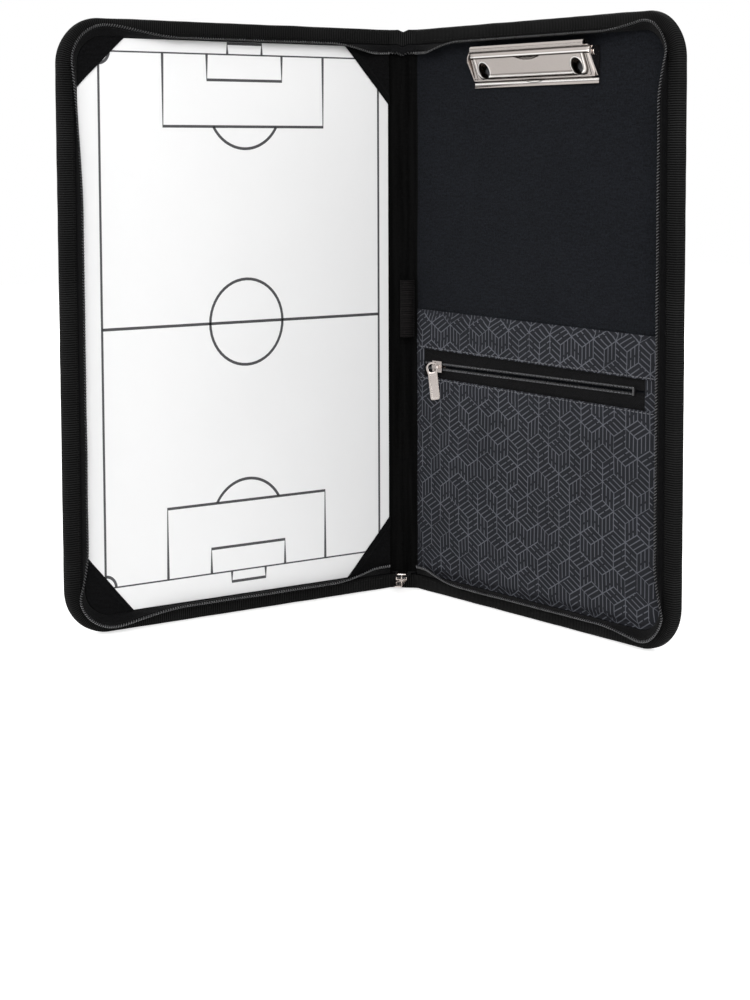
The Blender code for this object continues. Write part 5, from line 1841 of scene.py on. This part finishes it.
def lever_cheek(line, way):
    """The plate's side, bent down round an edge to just over the base's ears."""
    outer = LEVER_HALF_WIDTH - 0.4 * MM
    beyond = outer - LEVER_FLAT_HALF_WIDTH
    cheek_foot = 2.25 * MM
    cut_from = 19.4 * MM
    rows = []
    for b, w in line:
        w += plate_relief(LEVER_FLAT_HALF_WIDTH, b)
        drop = 1.2 * MM * smooth_step((b - 4.2 * MM) / (12 * MM))
        top = w - drop
        foot = min(w, cheek_foot)
        if b > cut_from:
            foot = cheek_foot + (top - cheek_foot) * (b - cut_from) / (2.2 * MM)
        foot = min(foot, top)
        row = [clip_at(way * (LEVER_FLAT_HALF_WIDTH + beyond * share), b, w - drop * sink)
               for share, sink in CHEEK_BEND]
        row += [clip_at(way * outer, b, top + (foot - top) * number / 4) for number in range(1, 5)]
        rows.append(row)
    return rows


def make_lever():
    """The sprung plate with its shoulders and cheeks, open over the rivets and round the rod."""
    line, numbers = lever_rows()
    lip = line[:numbers.index(LEVER_STEP) + 1]
    slope = line[numbers.index(LEVER_SLOPE):numbers.index(LEVER_CURL + 1) + 1]
    sheets = [lever_plate(line)]
    for way in (-1, 1):
        sheets += [lever_shoulder(lip, way), lever_cheek(slope, way)]
    thing = sheets_object("clip_lever_plate", sheets)
    face_outwards(thing, 0.01 * MM, dissolve=True)
    add_modifier(thing, "SOLIDIFY", thickness=LEVER_THICK, offset=0.0, use_even_offset=False)
    face_outwards(thing)
    plate_height = 2.4 * MM + (HOLE_ALONG - 4.2 * MM) * (5.0 / 12.8)
    through_plate = (HOLE_RADIUS, 6 * MM, 64, (math.pi / 2, 0.0, 0.0))
    along_rod = (PIVOT_RADIUS, 2.2 * CLIP_HALF_WIDTH, 32, (0.0, math.pi / 2, 0.0))
    for centre, (radius, depth, sides, turn) in (
            (clip_at(-RIVET_SPREAD, HOLE_ALONG, plate_height), through_plate),
            (clip_at(RIVET_SPREAD, HOLE_ALONG, plate_height), through_plate),
            (clip_at(0.0, PIVOT_ALONG, PIVOT_ABOVE), along_rod)):
        deselect()
        bpy.ops.mesh.primitive_cylinder_add(vertices=sides, radius=radius, depth=depth,
                                            location=centre, rotation=turn)
        cut_away(thing, bpy.context.object)
    smooth(thing, 35.0)
    return finish_piece(thing, "clip_lever_plate", "lever_nickel", "clip_lever", ["clip_lever"])


def make_spring():
    """The torsion spring: close turns round the rod, one leg under the thumb edge."""
    radius = 1.85 * MM
    wire = 0.4 * MM
    turns = 6.5
    length = turns * 1.3 * MM
    steps = round(turns * 28)
    points = [clip_at(-length / 2, 21.6 * MM, 4.9 * MM)]
    for number in range(steps + 1):
        share = number / steps
        angle = math.radians(90) + share * turns * 2 * math.pi
        points.append(clip_at((share - 0.5) * length, PIVOT_ALONG + radius * math.cos(angle),
                              PIVOT_ABOVE + radius * math.sin(angle)))
    points.append(clip_at(length / 2, 21.0 * MM, 1.7 * MM))
    thing = round_object("clip_spring_wire", [wire_rings(points, wire, 10)])
    finish_piece(thing, "clip_spring_wire", "dark_steel", "back_cover", ["clip_spring"])
    anchor = clip_at(0.0, 15 * MM, 1.5 * MM)
    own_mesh(thing)


def make_clip_metal():
    """Base plate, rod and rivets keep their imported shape, with eased edges."""
    for node, width, material in (("clip_base", 0.25 * MM, "nickel"),
                                  ("clip_rod", 0.3 * MM, "nickel"),
                                  ("clip_rivet_fold_side", 0.35 * MM, "dark_steel"),
                                  ("clip_rivet_outer_side", 0.35 * MM, "dark_steel")):
        ease_edges(node, width, 3)
        paint_node(node, material)


# Outside of the front cover

def front_band(name, start, width, material):
    """A band sewn down the outside of the front cover, between its bindings."""
    low = BINDING_DEPTH + GAP
    high = COVER_HEIGHT - low

    def lie(s, t):
        v = low + t * (high - low)
        sway = 0.2 * MM * ripple(v / (50 * MM), start * 100, 1.0)
        edge = 0.12 * MM * smooth_step(1 - min(s, 1 - s) * width / (1.0 * MM))
        u = start + s * width + sway
        w = outside_at("front_cover", u, v, 0.32 * MM) + edge
        return FRONT.at(u, v, w), (v, (s - 0.5) * width)

    cloth_piece(name + "_cloth", lie, (60, 260), BAND_THICK, material, "front_cover", [name])


def make_webbing():
    """Patterned webbing and a ribbed ribbon beside it, with bar-tacks across the webbing."""
    front_band("front_webbing", WEBBING_START, WEBBING_WIDTH, "webbing_weave")
    front_band("front_ribbon", WEBBING_START + WEBBING_WIDTH + GAP, RIBBON_WIDTH, "ribbon_tape")
    near, far = TACK_ENDS
    stretches = []
    for height in TACK_HEIGHTS:
        for v in (height - 0.5 * MM, height + 0.5 * MM):
            line = [FRONT.at(u, v, outside_at("front_cover", u, v, 0.6 * MM))
                    for u in (near + (far - near) * number / 20 for number in range(21))]
            stretches.append((line, -FRONT.inward))
    stitch_row("front_webbing_tacks", stretches, "front_cover")


def divided(points, closed=False):
    """A line, with points added so that it follows the cloth, and whether it is closed."""
    step = 2 * MM
    ends = points[1:] + points[:1] if closed else points[1:]
    line = [points[0]]
    for a, b in zip(points, ends):
        count = max(1, math.ceil((Vector(b) - Vector(a)).length / step))
        line += [tuple(Vector(a).lerp(Vector(b), i / count)) for i in range(1, count + 1)]
    return (line[:-1] if closed else line), closed


def make_badge():
    """A plain shield with upright stripes, a short bar under it and an empty name bar."""
    middle = Vector((162 * MM, 284 * MM))
    radius = 27 * MM

    def on_shield(x, y):
        return tuple(middle + Vector((x, y)) * radius)

    half = [(0.0, 0.92), (0.4, 0.99), (0.8, 0.86), (0.84, 0.2), (0.74, -0.35), (0.42, -0.8),
            (0.0, -1.08)]
    shield = [on_shield(x, y) for x, y in half + [(-x, y) for x, y in reversed(half[1:-1])]]
    name_bar = box_line(139 * MM, 185 * MM, 227 * MM, 239 * MM)
    outlines = [divided(shield, closed=True), divided(name_bar, closed=True)]
    stripes = [divided([on_shield(x, 0.74), on_shield(x, foot)])
               for x, foot in ((-0.56, -0.42), (-0.28, -0.72), (0.0, -0.86), (0.28, -0.72),
                               (0.56, -0.42))]
    stripes.append(divided([(147 * MM, 248 * MM), (177 * MM, 248 * MM)]))

    def under(u, v):
        return outside_at("front_cover", u, v, -0.1 * MM)

    def over(u, v):
        return outside_at("front_cover", u, v, 0.14 * MM)

    printed_lines("badge_outline", outlines, 1.3 * MM, under, over, "badge_print")
    printed_lines("badge_stripes", stripes, 4.0 * MM, under, over, "badge_print")


# Stage

def make_floor():
    """A pale floor; rays straight from the camera or by way of metal see it near white."""
    deselect()
    bpy.ops.mesh.primitive_plane_add(size=FLOOR_SIZE, location=(0.0, 0.0, -0.3 * MM))
    floor = bpy.context.object
    floor.name = "floor"
    material = bpy.data.materials.new("floor")
    material.use_nodes = True
    nodes = Nodes(material.node_tree)
    nodes.tree.nodes.remove(nodes.tree.nodes["Principled BSDF"])
    seen = nodes.ray("Is Camera Ray").max(nodes.ray("Is Glossy Ray"))
    pale = nodes.node("ShaderNodeBsdfDiffuse", None, {"Color": FLOOR_COLOUR})
    glow = nodes.node("ShaderNodeEmission", None, {"Strength": seen * FLOOR_GLOW})
    both = nodes.node("ShaderNodeAddShader", None, {0: pale, 1: glow})
    nodes.put(nodes.tree.nodes["Material Output"].inputs["Surface"], both)
    floor.data.materials.append(material)
    floor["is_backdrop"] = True


def make_world():
    """White where the camera or a reflection looks past the floor, a plain soft light elsewhere."""
    world = bpy.data.worlds.new("studio")
    bpy.context.scene.world = world
    world.use_nodes = True
    nodes = Nodes(world.node_tree)
    background = nodes.tree.nodes["Background"]
    seen = most([nodes.ray(kind) for kind in ("Is Camera Ray", "Is Transmission Ray",
                                              "Is Glossy Ray")])
    nodes.put(background.inputs["Color"], (1.0, 1.0, 1.0))
    nodes.put(background.inputs["Strength"], STUDIO_LIGHT + seen * (1.0 - STUDIO_LIGHT))


def make_lamp(name, place, size, power):
    """A round soft lamp that is turned to the middle of the folder's lower half."""
    deselect()
    bpy.ops.object.light_add(type="AREA", location=place)
    lamp = bpy.context.object
    lamp.name = name
    lamp.data.shape = "DISK"
    lamp.data.size = size
    lamp.data.energy = power
    lamp.rotation_euler = (Vector(LAMP_AIM) - Vector(place)).to_track_quat("-Z", "Y").to_euler()


def make_camera():
    """The camera of the photograph, found from points on the object."""
    sizes = bpy.context.scene.folder_sizes
    deselect()
    bpy.ops.object.camera_add(location=sizes.camera_place)
    camera = bpy.context.object
    camera.name = "camera"
    yaw, pitch, roll = (math.radians(angle) for angle in CAMERA_ANGLES)
    ahead = Vector((math.sin(yaw) * math.cos(pitch), math.cos(yaw) * math.cos(pitch),
                    math.sin(pitch)))
    level = Vector((math.cos(yaw), -math.sin(yaw), 0.0))
    down = ahead.cross(level)
    right = level * math.cos(roll) + down * math.sin(roll)
    down = down * math.cos(roll) - level * math.sin(roll)
    turn = Matrix((right, -down, -ahead)).transposed()
    camera.rotation_euler = turn.to_euler()
    camera.data.sensor_fit = "VERTICAL"
    camera.data.sensor_height = 36.0
    camera.data.lens = sizes.camera_lens
    camera.data.shift_y = CAMERA_SHIFT
    camera.data.clip_start = 0.05
    camera.data.clip_end = 50.0
    bpy.context.scene.camera = camera


def make_stage():
    """Floor, world, lamps and camera, and colours shown as they are."""
    make_floor()
    make_world()
    for name, place, size, power in LAMPS:
        make_lamp(name, place, size, power)
    make_camera()
    bpy.context.scene.view_settings.view_transform = "Standard"


# Operators

class FOLDER_OT_materials(bpy.types.Operator):
    """Make the materials of the folder"""
    bl_idname = "folder.materials"
    bl_label = "Materials"

    def execute(self, context):
        MATERIALS.update(make_materials())
        for name in ("back_cover_stiffener", "front_cover_stiffener", "spine_stiffener"):
            paint_node(name, "stiffener_board")
        return {"FINISHED"}


class FOLDER_OT_covers(bpy.types.Operator):
    """Make the fabric and the edge binding of both covers"""
    bl_idname = "folder.covers"
    bl_label = "Covers"

    def execute(self, context):
        for name, panel in COVERS.items():
            make_shell(name, panel)
            make_inner_fabric(name, panel)
            make_binding(name, panel)
            binding_stitches(name, panel)
        return {"FINISHED"}


class FOLDER_OT_main_zip(bpy.types.Operator):
    """Make the main zip's tape and coil along both covers"""
    bl_idname = "folder.main_zip"
    bl_label = "Main zip"

    def execute(self, context):
        for name, panel in COVERS.items():
            make_zip_tape(name, panel)
            make_zip_coil(name, panel)
        make_main_zip_end()
        return {"FINISHED"}


class FOLDER_OT_spine(bpy.types.Operator):
    """Make the spine's fabric, binding and zip"""
    bl_idname = "folder.spine"
    bl_label = "Spine"

    def execute(self, context):
        make_spine()
        return {"FINISHED"}


class FOLDER_OT_folds(bpy.types.Operator):
    """Make the fabric that bends over both folds"""
    bl_idname = "folder.folds"
    bl_label = "Folds"

    def execute(self, context):
        for name, panel in COVERS.items():
            make_fold(name.replace("cover", "fold"), panel)
        return {"FINISHED"}


class FOLDER_OT_pen_loop(bpy.types.Operator):
    """Make the elastic pen loop"""
    bl_idname = "folder.pen_loop"
    bl_label = "Pen loop"

    def execute(self, context):
        make_pen_loop()
        return {"FINISHED"}


class FOLDER_OT_board(bpy.types.Operator):
    """Finish the tactics board and print its pitch"""
    bl_idname = "folder.board"
    bl_label = "Tactics board"

    def execute(self, context):
        make_board()
        return {"FINISHED"}


class FOLDER_OT_corner_pockets(bpy.types.Operator):
    """Make the four fabric corners that hold the board"""
    bl_idname = "folder.corner_pockets"
    bl_label = "Corner pockets"

    def execute(self, context):
        for end, side in CORNER_POCKETS:
            make_corner_pocket(end, side)
        return {"FINISHED"}


class FOLDER_OT_pocket(bpy.types.Operator):
    """Make the patterned pocket and its zip"""
    bl_idname = "folder.pocket"
    bl_label = "Pocket"

    def execute(self, context):
        make_pocket()
        make_pocket_zip()
        return {"FINISHED"}


class FOLDER_OT_sliders(bpy.types.Operator):
    """Finish the zips' sliders and pulls"""
    bl_idname = "folder.sliders"
    bl_label = "Sliders and pulls"

    def execute(self, context):
        make_sliders()
        return {"FINISHED"}


class FOLDER_OT_clip(bpy.types.Operator):
    """Make the sprung lever clip"""
    bl_idname = "folder.clip"
    bl_label = "Lever clip"

    def execute(self, context):
        make_lever()
        make_spring()
        make_clip_metal()
        return {"FINISHED"}


class FOLDER_OT_outside(bpy.types.Operator):
    """Make the webbing and the print on the front cover"""
    bl_idname = "folder.outside"
    bl_label = "Webbing and print"

    def execute(self, context):
        make_webbing()
        make_badge()
        return {"FINISHED"}


class FOLDER_OT_stage(bpy.types.Operator):
    """Make the floor, the light and the camera"""
    bl_idname = "folder.stage"
    bl_label = "Stage"

    def execute(self, context):
        make_stage()
        return {"FINISHED"}


STEPS = (FOLDER_OT_materials, FOLDER_OT_covers, FOLDER_OT_main_zip, FOLDER_OT_spine,
         FOLDER_OT_folds, FOLDER_OT_pen_loop, FOLDER_OT_board, FOLDER_OT_corner_pockets,
         FOLDER_OT_pocket, FOLDER_OT_sliders, FOLDER_OT_clip, FOLDER_OT_outside,
         FOLDER_OT_stage)


class FOLDER_PT_panel(bpy.types.Panel):
    """The folder's steps, sizes and colours"""
    bl_idname = "FOLDER_PT_panel"
    bl_label = "Tactics folder"
    bl_space_type = "VIEW_3D"
    bl_region_type = "UI"
    bl_category = "Folder"

    def draw(self, context):
        column = self.layout.column(align=True)
        for step in STEPS:
            column.operator(step.bl_idname)
        for group in (context.scene.folder_sizes, context.scene.folder_colours):
            box = self.layout.box()
            for name in group.__annotations__:
                box.prop(group, name)


CLASSES = (FolderSizes, FolderColours, *STEPS, FOLDER_PT_panel)


def register():
    for kind in CLASSES:
        bpy.utils.register_class(kind)
    bpy.types.Scene.folder_sizes = bpy.props.PointerProperty(type=FolderSizes)
    bpy.types.Scene.folder_colours = bpy.props.PointerProperty(type=FolderColours)


def unregister():
    del bpy.types.Scene.folder_colours
    del bpy.types.Scene.folder_sizes
    for kind in reversed(CLASSES):
        bpy.utils.unregister_class(kind)


def plain(box):
    return [list(corner) for corner in box]


def main():
    register()
    for step in STEPS:
        group, name = step.bl_idname.split(".")
        getattr(getattr(bpy.ops, group), name)()
    {"cad": plain(CAD_BOX), "scene": plain(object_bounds())}


if __name__ == "__main__":
    main()
